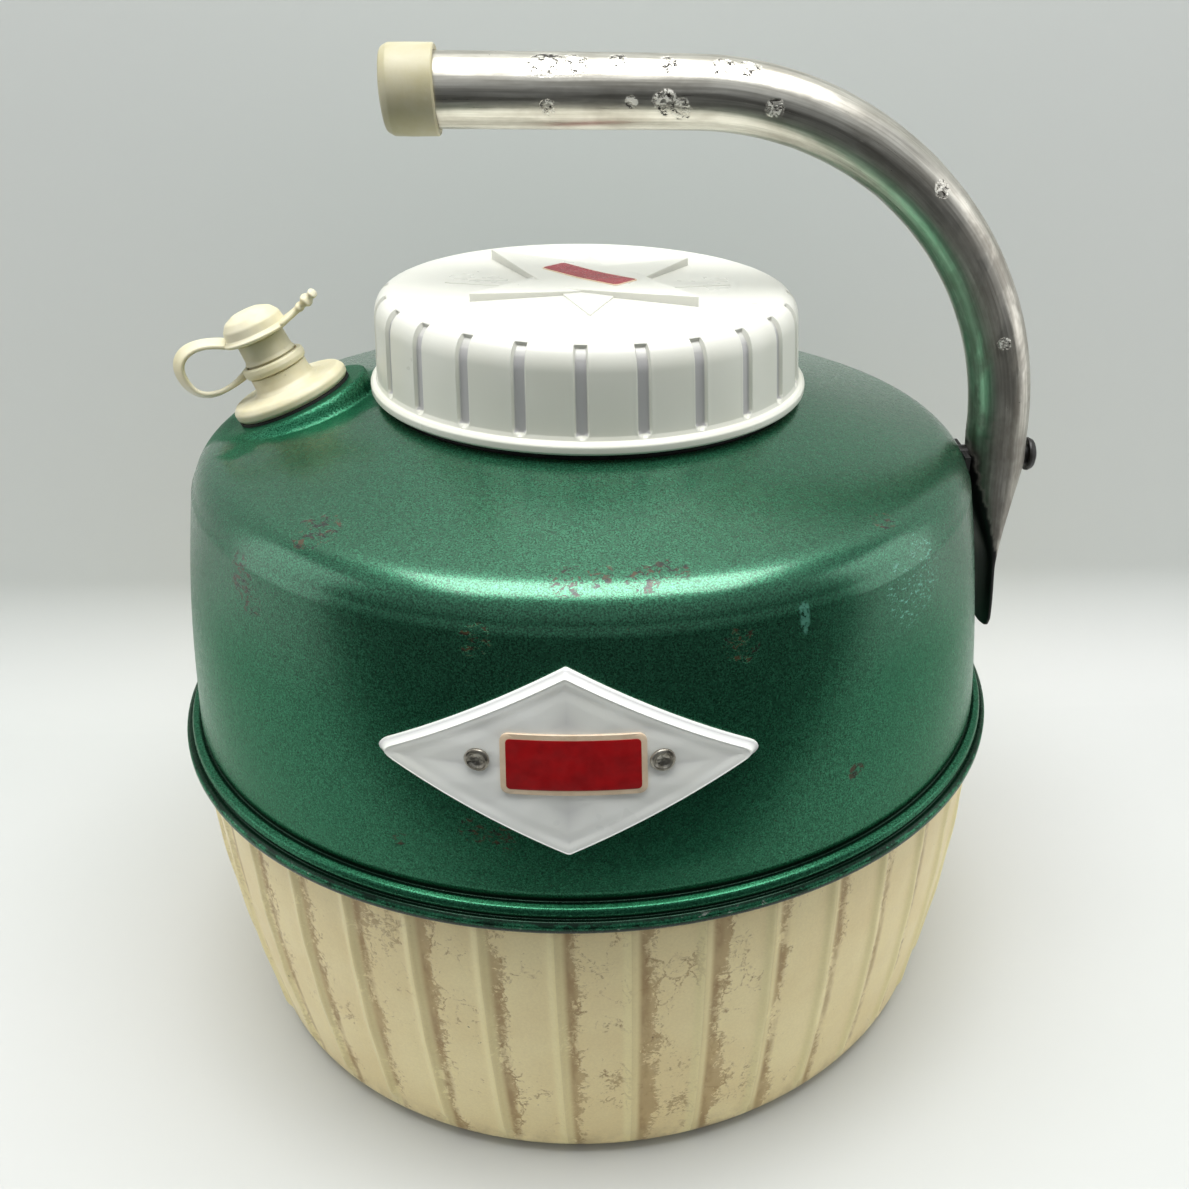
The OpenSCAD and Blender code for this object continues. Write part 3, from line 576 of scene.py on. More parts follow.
az = np.concatenate([np.radians(RIB0 + RIB_STEP * i) + np.radians(np.array([-4.1, -3.2, -2.4, -1.8, -1.35, -1.05, -0.8, -0.6, -0.4, -0.2, 0, 0.2, 0.4, 0.6, 0.8, 1.05, 1.35, 1.8, 2.4, 3.2])) for i in range(RIB_N)])
o = lathe("lower_shell_skin", line, az, ribs, True, 60)
dress(o, "tan"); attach(o, "jug"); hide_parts("bottom_shell")


# ---------------------------------------------------------------- upper shell
def bez(a, b, c, n):
    t = np.linspace(0, 1, n)[:, None]
    return (1 - t) ** 2 * a + 2 * t * (1 - t) * b + t * t * c


seam = smooth_line([(125.2, 98.9), (125.6, 97.8, 0.4), (127.6, 97.7, 0.8), (129.0, 98.9, 1.3), (129.0, 100.8, 1.2), (127.9, 101.7, 0.5), (126.9, 101.55, 0.5),
                    (126.7, 101.9, 0.3), (127.1, 103.0, 1.0), (126.6, 104.5, 1.1), (125.0, 104.9, 0.6), (123.75, 104.6, 0.5), (123.75, 105.8, 0.8)], 5)
wall_pts = [(upper_r(z), z) for z in np.linspace(106.6, ca[1], 52)]
crown_pts = [tuple(p) for p in bez(ca, crown, cb, 16)[1:]]
cone = [tuple(cb + (hole - cb) * s) for s in np.linspace(0, 1, 40)[1:]]
lip = smooth_line([tuple(hole), (61.4, 197.6, 1.0), (60.2, 197.2, 0.9), (60.2, 190.0, 0.3), (61.4, 190.0, 0.3), (61.4, 196.0, 0.6), (64.5, 195.5)], 4)[1:]
under = [tuple(np.array(p) - 1.2 * np.array([0.25, 0.97])) for p in reversed(cone[:-1])]
under += [tuple(np.array(p) - 1.2 * np.array([0.7, 0.7])) for p in reversed(crown_pts)]
under += [(r - 1.2, z - 0.2) for r, z in reversed(wall_pts)]
under += [(123.0, 103.4), (125.4, 103.3), (125.4, 101.5), (127.4, 101.3), (127.4, 99.3), (125.3, 99.2)]
line = np.array([tuple(p) for p in seam] + wall_pts + crown_pts + cone + [tuple(p) for p in lip] + under)


def boss(R, Z, T):
    X, Y = R * np.sin(T), -R * np.cos(T)
    # gentle hand-worked waviness of old pressed steel
    wav = 0.10 * np.sin(3 * T + 0.4) + 0.07 * np.sin(7 * T + Z * 0.06) + 0.05 * np.sin(11 * T - Z * 0.11)
    wall_k = smoothstep((Z - 106) / 10)
    R = R + wav * wall_k
    # raised round seat under the spout: its plane is square to the spout
    P = np.stack([X - SP0[0], Y, Z - SP0[2]], -1)
    u, v = P @ SPX, Y
    d = np.hypot(u, v)
    tgt = SP0[2] - 0.8 / math.cos(TILT) + (X - SP0[0]) * math.tan(TILT)
    base = np.clip(Z, 150, None)
    rise = tgt - base
    k = smoothstep((22.6 - d) / 2.6)
    up = (R > 62) & (Z > 165)
    inner_side = np.zeros_like(R); inner_side[:, -len(under):] = -1.2
    Z2 = np.where(up & (X < 0), Z + k * np.maximum(rise + inner_side, -0.2), Z)
    return R, Z2


fine = np.radians(np.arange(-125, -55, 0.45))
rest = np.radians(np.arange(-55, 235, 1.25))
o = lathe("upper_shell_skin", line, np.concatenate([fine, rest]), boss, True, 70)
dress(o, "green"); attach(o, "jug"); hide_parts("top_shell")


# ---------------------------------------------------------------- badge
BA, BZ, HW, HH = math.radians(-3.6), 144.5, 47.2, 24.4


def on_wall(u, v, h):
    """u across (mm of arc chord), v up, h out of the wall."""
    z = BZ + v
    r = upper_r(z) + h
    a = BA + np.arcsin(np.clip(u / upper_r(BZ), -1, 1))
    return np.stack([r * np.sin(a), -r * np.cos(a), z], -1)


def diamond_point(s, t):
    """Returns s times t (t in 0..1, s a scale); it builds no outline."""
    return s * t


def badge_outline(n_side=26, rc=2.2):
    c = [np.array(p) for p in ((-HW, 0.0), (0, -HH), (HW, 0.0), (0, HH))]
    pts = []
    for i in range(4):
        p, a, b = c[i], c[i - 1], c[(i + 1) % 4]
        da, db = (a - p) / np.linalg.norm(a - p), (b - p) / np.linalg.norm(b - p)
        half = math.acos(float(da @ db)) / 2
        tl = rc / math.tan(half) if i % 2 == 0 else rc * 0.6 / math.tan(half)
        p0, p2 = p + da * tl, p + db * tl
        pts += list(bez(p0, p, p2, 7))
        nxt = c[(i + 1) % 4]
        e = nxt + (p - nxt) / np.linalg.norm(p - nxt) * (rc * (0.6 if i % 2 == 0 else 1.0) / math.tan(math.acos(float(((c[i] - nxt) / np.linalg.norm(c[i] - nxt)) @ ((c[(i + 2) % 4] - nxt) / np.linalg.norm(c[(i + 2) % 4] - nxt)))) / 2))
        for k in range(1, n_side):
            pts.append(p2 + (e - p2) * k / n_side)
    return np.array(pts)


ring = badge_outline()
prof = [(1.0, 0.1), (1.0, 0.95), (0.9975, 1.25), (0.992, 1.45), (0.985, 1.55), (0.952, 2.75), (0.946, 3.12), (0.941, 3.24), (0.935, 3.24), (0.929, 3.12)]


def facet(u, v):
    """Shallow cut-glass pattern on the face: flat planes meeting at the middle."""
    q = np.abs(u) / HW + np.abs(v) / HH
    t = np.arctan2(v / HH, u / HW) / (math.pi / 4)
    saw = np.abs((t % 1) - 0.5) * 2
    w = smoothstep((0.90 - q) / 0.10)
    band = np.abs(((q * 2.1) % 1) - 0.5) * 2
    return 3.12 - 0.50 * w * (0.62 * saw * np.minimum(1, q / 0.25) + 0.38 * band)


verts, faces = [], []
m = len(ring)
for s, h in prof:
    verts.append(on_wall(ring[:, 0] * s, ring[:, 1] * s, h))
for s in np.linspace(0.929, 0.02, 40)[1:]:
    uu, vv = ring[:, 0] * s, ring[:, 1] * s
    verts.append(on_wall(uu, vv, facet(uu, vv)))
k = len(verts)
V = np.concatenate(verts)
V = np.concatenate([V, on_wall(np.array([0.0]), np.array([0.0]), np.array([3.1])), on_wall(ring[:, 0] * 0.6, ring[:, 1] * 0.6, 0.1), on_wall(ring[:, 0] * 0.2, ring[:, 1] * 0.2, 0.1), on_wall(np.array([0.0]), np.array([0.0]), np.array([0.1]))])
F = [tuple(f) for f in grid_faces(k, m, False, True)]
top_c = k * m
b1, b2, bc = k * m + 1, k * m + 1 + m, k * m + 1 + 2 * m
for j in range(m):
    n2 = (j + 1) % m
    F.append(((k - 1) * m + j, (k - 1) * m + n2, top_c))
    F.append((j, n2, b1 + n2, b1 + j))
    F.append((b1 + j, b1 + n2, b2 + n2, b2 + j))
    F.append((b2 + j, b2 + n2, bc))
o = make("badge_face", V * MM, F, True, 22)
bv = np.zeros(len(o.data.vertices) * 3); o.data.vertices.foreach_get("co", bv)
bv = bv.reshape(-1, 3) / MM
dr = np.hypot(bv[:, 0], bv[:, 1]) - np.array([upper_r(q) for q in bv[:, 2]])
# painted shade on the badge where it lies below 2.9 mm, lighter near the wall
ba = o.data.attributes.new("recess_shade", "FLOAT", "POINT")
ba.data.foreach_set("value", (smoothstep((2.9 - dr) / 0.5) * np.where(dr > 1.1, 0.8, 0.16) * (np.abs(bv[:, 2] - BZ) > 0)).astype(np.float32))
dress(o, "badge"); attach(o, "jug"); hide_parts("badge_plate")


def label_on(fn, name, w, h, rc, t, layers, body, slot, node=None, shear=0.0):
    """A rounded rectangular label; fn maps (u, v, height) to space."""
    outline = []
    for cx, cy, a0 in ((w / 2 - rc, h / 2 - rc, 0), (-w / 2 + rc, h / 2 - rc, 90), (-w / 2 + rc, -h / 2 + rc, 180), (w / 2 - rc, -h / 2 + rc, 270)):
        for a in np.radians(np.linspace(a0, a0 + 90, 7)):
            outline.append((cx + rc * math.cos(a), cy + rc * math.sin(a)))
    base = np.array(outline)
    P = []
    for i in range(len(base)):
        a, b = base[i], base[(i + 1) % len(base)]
        n = max(1, int(np.linalg.norm(b - a) / 1.5))
        for k2 in range(n):
            P.append(a + (b - a) * k2 / n)
    P = np.array(P)
    m2 = len(P)
    rows = [(1.0, 0.0), (1.0, t * 0.8), (0.99, t)] + [(s, t) for s in np.linspace(0.99, 0.05, 10)[1:]]
    W = np.concatenate([fn(P[:, 0] * s, P[:, 1] * s, np.full(m2, hh)) for s, hh in rows])
    F2 = [tuple(f) for f in grid_faces(len(rows), m2, False, True)]
    F2.append(tuple(range(m2))[::-1])
    F2.append(tuple((len(rows) - 1) * m2 + j for j in range(m2)))
    ob = make(name, W * MM, F2, True, 40)
    return ob


def badge_label_map(u, v, h):
    return on_wall(u + 1.6, v + 1.4, 2.95 + h)


o = label_on(badge_label_map, "badge_label_border", 33.6, 15.6, 2.0, 0.50, None, "jug", None)
dress(o, "label_edge"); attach(o, "jug"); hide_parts("badge_label")
o = label_on(lambda u, v, h: badge_label_map(u, v, h + 0.50), "badge_label_field", 30.9, 12.9, 1.0, 0.08, None, "jug", None)
dress(o, "red"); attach(o, "jug")

rv = None
for i, a in enumerate((-13.4, 6.9)):
    pr = smooth_line([(0, -1.6), (1.6, -1.6), (1.6, 0.0), (3.05, 0.0, 0.25), (3.05, 0.75, 0.45), (2.35, 1.15, 0.3), (1.7, 0.45, 0.6), (0.6, 0.12, 0.4), (0.0, 0.1)], 4)
    ob = lathe("badge_rivet_%d" % (i + 1), pr, 40, lambda R, Z, T: (R * (1 + 0.02 * np.sin(3 * T)), Z + 0.05 * np.sin(5 * T + R * 2)), False, 50)
    t = math.radians(a)
    r = upper_r(BZ + 1.9) + 3.0
    ob.data.transform(Matrix.Translation((r * math.sin(t) * MM, -r * math.cos(t) * MM, (BZ + 1.9) * MM)) @ Matrix.Rotation(t, 4, "Z") @ Matrix.Rotation(math.radians(90), 4, "X"))
    dress(ob, "rivet"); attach(ob, "jug"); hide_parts("badge_rivets")


# ---------------------------------------------------------------- spout
def spout_lathe(name, pts, seg=5, n=96, disp=None, closed=True):
    ob = lathe(name, smooth_line(pts, seg), n, disp, closed, 60)
    ob.data.transform(SPM)
    return ob


o = spout_lathe("nozzle_skin", [(5, 19.4), (5, -24), (6.5, -24), (6.5, 0.0), (16.4, 0.0, 0.5), (17.15, 0.9, 1.0), (17.2, 2.6, 1.4), (16.0, 4.05, 1.6), (12.6, 4.2, 2), (9.8, 4.4, 1.0), (8.6, 5.4, 1.3),
                              (8.35, 7.2, 1.0), (8.3, 9.2, 0.2), (8.0, 9.45, 0.2), (7.1, 9.45, 0.1), (7.1, 12.9, 0.1), (7.6, 13.2, 0.3), (7.05, 14.2, 0.8), (6.9, 18.8, 0.3), (6.4, 19.4, 0.3), (5, 19.4)])
dress(o, "cream"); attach(o, "jug"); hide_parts("spout_nozzle")

o = spout_lathe("strap_ring_skin", [(7.65, 9.75), (8.3, 9.62, 0.4), (9.0, 9.9, 0.6), (9.3, 11.15, 1.1), (9.0, 12.4, 0.6), (8.3, 12.7, 0.4), (7.65, 12.6), (7.65, 9.75)])
dress(o, "cream"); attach(o, "spout_ring"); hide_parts("strap_ring")

# cap: dome on a thin rim, a plug below, and a beaded pull tab
cap_line = [(0, 11.5), (4.4, 11.5, 0.4), (4.95, 12.3, 0.3), (4.95, 19.6, 0.2), (9.3, 19.6, 0.4), (10.1, 20.1, 0.4), (10.1, 20.6, 0.4), (9.4, 21.0, 0.4), (8.85, 21.5, 0.5), (8.5, 23.8, 1.8),
            (7.0, 25.7, 2.2), (4.2, 26.9, 2.4), (0, 27.15)]
o = spout_lathe("spout_cap_skin", cap_line, 6, 96, lambda R, Z, T: (R * (1 + 0.006 * np.sin(2 * T + 1)), Z), False)
dress(o, "cream"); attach(o, "spout_cap"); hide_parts("spout_cap")

TN = 60
ts = np.linspace(0, 1, TN)
cx = 8.8 + ts * 11.8
cz = 20.7 + 2.2 * ts + 2.0 * ts ** 1.6
pts = np.stack([cx, np.zeros(TN), cz], -1)
tan_v = np.gradient(pts, axis=0); tan_v /= np.linalg.norm(tan_v, axis=1)[:, None]
nv = np.stack([-tan_v[:, 2], np.zeros(TN), tan_v[:, 0]], -1)
fr = np.stack([nv, np.repeat(np.array([[0, 1.0, 0]]), TN, 0)], 1)


def tab_sec(i):
    t = ts[i]
    lump = lambda c, w: math.exp(-((t - c) / w) ** 2)
    bead = 0.35 * lump(0.50, 0.05) + 0.95 * lump(0.72, 0.075) + 0.45 * lump(0.93, 0.05)
    h = 0.95 + bead * 0.95
    w = 2.0 + 3.2 * math.exp(-(t / 0.30) ** 2) + bead * 1.0
    if t > 0.93:
        f = math.sqrt(max(0.02, 1 - ((t - 0.93) / 0.07) ** 2))
        h, w = h * f, w * f
    a = np.linspace(0, 2 * math.pi, 24, endpoint=False)
    c, s = np.cos(a), np.sin(a)
    return np.stack([h * np.sign(c) * np.abs(c) ** 0.7, w * np.sign(s) * np.abs(s) ** 0.7], -1)


o = sweep("spout_cap_tab", pts, fr, tab_sec)
o.data.transform(SPM)
dress(o, "cream"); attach(o, "spout_cap")


def cub(a, b, c, d, t):
    return (1 - t) ** 3 * a + 3 * t * (1 - t) ** 2 * b + 3 * t * t * (1 - t) * c + t ** 3 * d


SN = 72
P = []
for i in range(SN):
    t = i / (SN - 1)
    if t < 0.5:
        q = [cub(*v, 2 * t) for v in ((-8.6, -16.5, -25.8, -26.2), (11.2, 8.0, 7.4, 15.6))]
    else:
        q = [cub(*v, 2 * t - 1) for v in ((-26.2, -26.6, -18.4, -9.2), (15.6, 22.8, 25.6, 20.45))]
    P.append((q[0], 0.0, q[1]))
P = np.array(P)
tg = np.gradient(P, axis=0); tg /= np.linalg.norm(tg, axis=1)[:, None]
nv = np.stack([-tg[:, 2], np.zeros(SN), tg[:, 0]], -1)
fr = np.stack([nv, np.repeat(np.array([[0, 1.0, 0]]), SN, 0)], 1)


def strap_sec(i):
    t = i / (SN - 1)
    a = np.linspace(0, 2 * math.pi, 28, endpoint=False)
    c, s = np.cos(a), np.sin(a)
    thick = 0.78 + 0.40 * math.exp(-(t / 0.07) ** 2) + 0.12 * math.exp(-((t - 1.0) / 0.08) ** 2)
    wid = 3.4 + 1.1 * math.sin(t * math.pi) ** 2 - 1.1 * math.exp(-(t / 0.12) ** 2) + 0.5 * math.exp(-((t - 1) / 0.12) ** 2)
    p = thick * np.sign(c) * np.abs(c) ** 0.55
    q = wid * np.sign(s) * np.abs(s) ** 0.55
    k = math.radians(34) * math.sin(t * math.pi) ** 2
    return np.stack([p * math.cos(k) + q * math.sin(k), q * math.cos(k) - p * math.sin(k)], -1)


o = sweep("cap_strap_skin", P, fr, strap_sec)
o.data.transform(SPM)
dress(o, "cream")
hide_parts("cap_strap")
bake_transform(o)


# ---------------------------------------------------------------- lid
lid_line = smooth_line([(59.2, 199.3), (62.9, 199.3, 0.5), (63.45, 199.9, 0.5), (63.45, 201.6, 0.8), (62.7, 202.4, 0.5), (61.75, 202.6, 0.5), (61.55, 203.6, 0.4)], 4)
zs = np.concatenate([np.arange(203.7, 208.8, 0.32), np.arange(209.5, 219.0, 1.0)])
skirt = [(61.5 - (z - 203.6) / 16 * 0.9, z) for z in zs]
top = [tuple(p) for p in bez(np.array([60.6, 219.2]), np.array([60.35, 227.0]), np.array([53.6, 227.0]), 30)]
deck = [(r, 227.0 + 0.12 * (1 - (r / 53.6) ** 2)) for r in np.linspace(52.8, 0.0, 40)]
ins = [(0.0, 224.6), (57.3, 224.6), (58.9, 222.8), (58.9, 199.9)]
line = np.array([tuple(p) for p in lid_line] + skirt + top + deck + ins)
n_out = len(line) - len(ins)
SW = 1.8


def slots(R, Z, T):
    d = (np.degrees(T) + 2.5 + 7.5) % 15.0 - 7.5
    x = np.radians(d) * 61.0
    lo, hi = 203.25, 226.25
    dz = np.where(Z < lo + SW, lo + SW - Z, 0.0)
    dist = np.hypot(np.where(Z < lo + SW, x, np.abs(x)), dz) - SW
    dist = np.maximum(dist, Z - hi)
    k = smoothstep((0.12 - dist) / 0.5)
    rim = np.exp(-((dist - 0.35) / 0.28) ** 2) * 0.07
    live = (R > 50) & (Z > 202.9)
    outer = np.zeros_like(R); outer[:, :n_out] = 1.0
    tilt = smoothstep((Z - 214) / 12)
    R2 = R + outer * live * (-1.05 * k + rim)
    Z2 = Z - outer * live * (0.75 * k * tilt)
    wob = 0.05 * np.sin(2 * T + 0.5)
    return R2 + wob * outer * (R > 20), Z2


cols = np.degrees(np.array([-7.98, -7.0, -6.0, -5.0, -4.0, -3.2, -2.7, -2.4, -2.2, -2.05, -1.9, -1.75, -1.6, -1.35, -0.9, -0.3, 0.3, 0.9, 1.35, 1.6, 1.75, 1.9, 2.05, 2.2, 2.4, 2.7, 3.2, 4.0, 5.0, 6.0, 7.0]) / 61.0)
az = np.concatenate([np.radians(-2.5 + 15 * i + cols) for i in range(24)])
o = lathe("lid_skin", line, az, slots, True, 50)
lv = np.zeros(len(o.data.vertices) * 3); o.data.vertices.foreach_get("co", lv)
lv = lv.reshape(-1, 3) / MM
lr, lt = np.hypot(lv[:, 0], lv[:, 1]), np.degrees(np.arctan2(lv[:, 0], -lv[:, 1]))
ld = np.radians((lt + 2.5 + 7.5) % 15.0 - 7.5) * 61.0
# painted shade inside the slots round the lid's side
slot_shade = smoothstep((1.62 - np.abs(ld)) / 0.3) * (lv[:, 2] > 203.8) * (lv[:, 2] < 226.3) * (lr > 54.5)
la_ = o.data.attributes.new("recess_shade", "FLOAT", "POINT")
la_.data.foreach_set("value", slot_shade.astype(np.float32))
dress(o, "white"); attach(o, "lid"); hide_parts("lid_shell")


def rhomb(name, az_deg, la, lb, hw, z_mid, z_tip, centre=(0.0, 0.0)):
    """A flat four-pointed blade lying on the lid, its two long tips lifted a little."""
    n = 18
    edge = []
    corners = [np.array((la, 0.0)), np.array((0.0, hw)), np.array((-lb, 0.0)), np.array((0.0, -hw))]
    for i in range(4):
        a, b = corners[i], corners[(i + 1) % 4]
        for k2 in range(n):
            edge.append(a + (b - a) * k2 / n)
    E = np.array(edge)
    rows = [(1.0, -1), (1.0, 0), (0.992, 1), (0.97, 2)] + [(s, 2) for s in np.linspace(0.97, 0.03, 12)[1:]]
    ca2, sa2 = math.cos(math.radians(az_deg)), math.sin(math.radians(az_deg))
    W = []
    for s, lvl in rows:
        u, v = E[:, 0] * s, E[:, 1] * s
        q = np.where(u > 0, u / la, -u / lb)
        zz = z_mid + (z_tip - z_mid) * np.clip(q, 0, 1) ** 1.3 - 0.25 * np.abs(v) / hw
        if lvl == -1:
            zz = np.full_like(u, 226.6)
        elif lvl == 0:
            zz = zz - 0.22
        elif lvl == 1:
            zz = zz - 0.06
        W.append(np.stack([centre[0] + u * ca2 - v * sa2, centre[1] + u * sa2 + v * ca2, zz], -1))
    m2 = len(E)
    F2 = [tuple(f) for f in grid_faces(len(rows), m2, False, True)]
    F2.append(tuple(range(m2))[::-1])
    F2.append(tuple((len(rows) - 1) * m2 + j for j in range(m2)))
    ob = make(name, np.concatenate(W) * MM, F2, True, 30)
    sv = np.zeros(len(ob.data.vertices) * 3); ob.data.vertices.foreach_get("co", sv)
    zt = sv.reshape(-1, 3)[:, 2] / MM
    # painted shade on the blades' low sides, where they meet the lid
    at = ob.data.attributes.new("recess_shade", "FLOAT", "POINT")
    at.data.foreach_set("value", np.where(zt < 226.7, 0.9, 0.0).astype(np.float32))
    dress(ob, "white")
    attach(ob, "lid")
    return ob


rhomb("lid_star_low_1", 0, 41, 41, 9, 227.45, 227.3, (0, 1))
rhomb("lid_star_low_2", 90, 35, 35, 12, 227.8, 227.6, (0, 1))
rhomb("lid_star_mid", 36, 38.7, 38.7, 14, 228.2, 229.4, (-1, 3))
rhomb("lid_star_high", -43, 40.4, 40.4, 16, 228.65, 230.0, (0, 4))

LA = math.radians(-43)


def lid_map(u, v, h):
    z = 228.5 + 1.35 * (np.abs(u) / 40.4) ** 1.3
    return np.stack([u * math.cos(LA) - v * math.sin(LA), 5 + u * math.sin(LA) + v * math.cos(LA), z + h], -1)


o = label_on(lid_map, "lid_label_border", 29.5, 9.5, 1.1, 0.34, None, "lid", None)
dress(o, "label_edge"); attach(o, "lid"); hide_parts("lid_label")
o = label_on(lambda u, v, h: lid_map(u, v, h + 0.34), "lid_label_field", 28.7, 8.7, 0.9, 0.08, None, "lid", None)
dress(o, "lid_red"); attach(o, "lid")


# ---------------------------------------------------------------- handle
BEND_R, LEG_X = 96.4, 126.6
BX, BZ2 = LEG_X - BEND_R, SEAM_Z + 84.1
TR = 19.05 / 2
DROOP = 0.8
foot = [(117.5, 129.3, 1.3, 7), (118, 129.3, 1.35, 9.2), (119, 129.2, 1.4, 11), (122.5, 128.9, 1.4, 13.4), (130, 128.35, 1.45, 14), (142, 127.35, 1.5, 14), (146, 127.3, 2.3, 13.8),
        (150, 127.1, 3.5, 13.2), (158, 126.9, 5.9, 12.2), (166, 126.95, 7.95, 11), (174, 127.2, 9.5, 10), (BZ2, LEG_X, TR, TR)]
fz = np.array([f[0] for f in foot], float)
zz = np.concatenate([np.linspace(117.5, 122, 8), np.linspace(123, BZ2, 48)])


def interp(col):
    from_v = np.array([f[col] for f in foot], float)
    v = np.interp(zz, fz, from_v)
    k = np.array([0.25, 0.5, 0.25])
    for _ in range(3):
        w = np.convolve(np.pad(v, 1, mode="edge"), k, "valid")
        w[:8] = v[:8]; w[-1] = v[-1]
        v = w
    return v


cxs, hxs, hys = interp(1), interp(2), interp(3)
C, N, HX, HY, UU = [], [], [], [], []
for z, cxx, hx, hy in zip(zz, cxs, hxs, hys):
    C.append((cxx, 0, z)); N.append((1, 0, 0)); HX.append(hx); HY.append(hy)
for a in np.radians(np.linspace(0, 90 + DROOP, 60)[1:]):
    C.append((BX + BEND_R * math.cos(a), 0, BZ2 + BEND_R * math.sin(a))); N.append((math.cos(a), 0, math.sin(a)))
    # the outer side of the bend is very slightly flattened, as a bent tube is
    k2 = math.sin(min(math.pi, a * 2)) ** 2
    HX.append(TR * (1 - 0.02 * k2)); HY.append(TR * (1 + 0.012 * k2))
a = math.radians(90 + DROOP)
e0 = np.array(C[-1]); dirv = np.array([-math.sin(a), 0, math.cos(a)])
for s in np.linspace(0, 79, 36)[1:]:
    C.append(tuple(e0 + dirv * s)); N.append((math.cos(a), 0, math.sin(a))); HX.append(TR); HY.append(TR)
C, N = np.array(C, float), np.array(N, float)
HX, HY = np.array(HX), np.array(HY)
arc_len = np.concatenate([[0], np.cumsum(np.linalg.norm(np.diff(C, axis=0), axis=1))])
M = 72
aa = np.linspace(0, 2 * math.pi, M, endpoint=False)
rng = np.random.default_rng(7)
dents = [(rng.uniform(60, 330), rng.uniform(0, 2 * math.pi), rng.uniform(1.5, 4.0), rng.uniform(0.05, 0.16)) for _ in range(70)]
dents += [(arc_len[-1] - d, t, w, h) for d, t, w, h in ((62, 1.0, 2.2, 0.3), (58, 1.15, 1.8, 0.25), (66, 1.2, 1.6, 0.2), (55, 0.9, 1.5, 0.22), (40, 2.0, 1.6, 0.18), (34, 0.2, 1.6, 0.15))]
rows = []
inner_shadow_flag = []
for i in range(len(C)):
    hx, hy = HX[i], HY[i]
    flat = 1 - min(1.0, hx / hy)
    ex = 1.0 - 0.28 * min(1.0, flat * 1.2)
    c, s = np.cos(aa), np.sin(aa)
    off_n = hx * np.sign(c) * np.abs(c) ** ex
    off_y = hy * np.sign(s) * np.abs(s) ** ex
    dd = np.zeros(M)
    for (u0, t0, w, h) in dents:
        du = arc_len[i] - u0
        if abs(du) < 3 * w:
            dt = (aa - t0 + math.pi) % (2 * math.pi) - math.pi
            dd += h * np.exp(-(du / w) ** 2 - (dt * TR / w) ** 2)
    sc = 1 - dd / TR * (1 if hx > 8 else 0)
    rows.append(C[i][None] + (off_n * sc)[:, None] * N[i][None] + np.stack([np.zeros(M), off_y * sc, np.zeros(M)], -1))
    zc = C[i][2]
    # painted shadow: the part of the tab's inner face that lies in shade is flagged here and painted black
    if zc < 186 and i < 62:
        c0 = np.interp(zc, [120, 135, 142, 146, 150, 159, 168, 175, 184], [0.86, 0.8, 0.55, 0.2, -0.1, -0.38, -0.70, -0.83, -1.15])
        inner_shadow_flag.append(smoothstep((c0 + 0.06 + 0.05 * math.sin(zc * 1.3) - c) / 0.12))
    else:
        inner_shadow_flag.append(np.zeros(M))
# bore: back down the inside from the open end, so the tube reads as a tube if the end cap is off
st = len(C)
for i in range(len(C) - 1, 20, -1):
    if HX[i] < 4:
        break
    c, s = np.cos(aa), np.sin(aa)
    rows.append(C[i][None] + ((HX[i] - 1.4) * c)[:, None] * N[i][None] + np.stack([np.zeros(M), (HY[i] - 1.4) * s, np.zeros(M)], -1))
    inner_shadow_flag.append(np.zeros(M))
V = np.concatenate(rows) * MM
F = [tuple(f) for f in grid_faces(len(rows), M, False, True)]
F.append(tuple(range(M))[::-1])
F.append(tuple((len(rows) - 1) * M + j for j in range(M)))
me = bpy.data.meshes.new("handle_tube_skin")
me.from_pydata([tuple(v) for v in V], [], F)
uvl = me.uv_layers.new(name="UVMap")
al = np.concatenate([arc_len, arc_len[::-1][:len(rows) - st]])
loops = np.zeros(len(me.loops), int); me.loops.foreach_get("vertex_index", loops)
uv = np.zeros((len(me.loops), 2))
ri, ci = loops // M, loops % M
uv[:, 0] = al[np.minimum(ri, len(al) - 1)] * MM
uv[:, 1] = ci / M * 0.06
start = 0
for p in me.polygons:
    idx = list(p.loop_indices)
    if len(idx) == 4:
        cc = ci[idx]
        if cc.max() - cc.min() > M / 2:
            for li in idx:
                if ci[li] == 0:
                    uv[li, 1] = 0.06
uvl.data.foreach_set("uv", uv.ravel().astype(np.float32))
# painted shadow mask carried on the mesh as the inner attribute
att = me.attributes.new("inner", "FLOAT", "POINT")
att.data.foreach_set("value", np.concatenate(inner_shadow_flag).astype(np.float32))
me.polygons.foreach_set("use_smooth", [True] * len(me.polygons))
bm = bmesh.new(); bm.from_mesh(me); bmesh.ops.recalc_face_normals(bm, faces=bm.faces); bm.to_mesh(me); bm.free()
me.set_sharp_from_angle(angle=math.radians(45))
o = bpy.data.objects.new("handle_tube_skin", me)
bpy.context.collection.objects.link(o)
dress(o, "alu"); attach(o, "handle"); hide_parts("handle_tube")

capM = Matrix.Translation((BX * MM, 0, BZ2 * MM)) @ Matrix.Rotation(-math.radians(DROOP), 4, "Y") @ Matrix.Translation((-79 * MM, 0, BEND_R * MM)) @ Matrix.Rotation(math.radians(90), 4, "Y")
pr = smooth_line([(0, -3.1), (6.5, -2.95, 2), (10.3, -2.3, 1.6), (11.3, -0.4, 1.4), (11.38, 4, 3), (11.35, 11.0, 0.5), (11.0, 11.5, 0.4), (9.62, 11.4, 0.3), (9.6, 0.2, 0.2), (0, 0.0)], 6)
o = lathe("handle_end_cap_skin", pr, 96, lambda R, Z, T: (R + (R > 10) * (0.10 * np.sin(2 * T) + 0.05 * np.sin(5 * T + Z * 0.4)), Z), False, 60)
o.data.transform(capM)
dress(o, "cap_cream"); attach(o, "handle"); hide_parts("handle_end_cap")

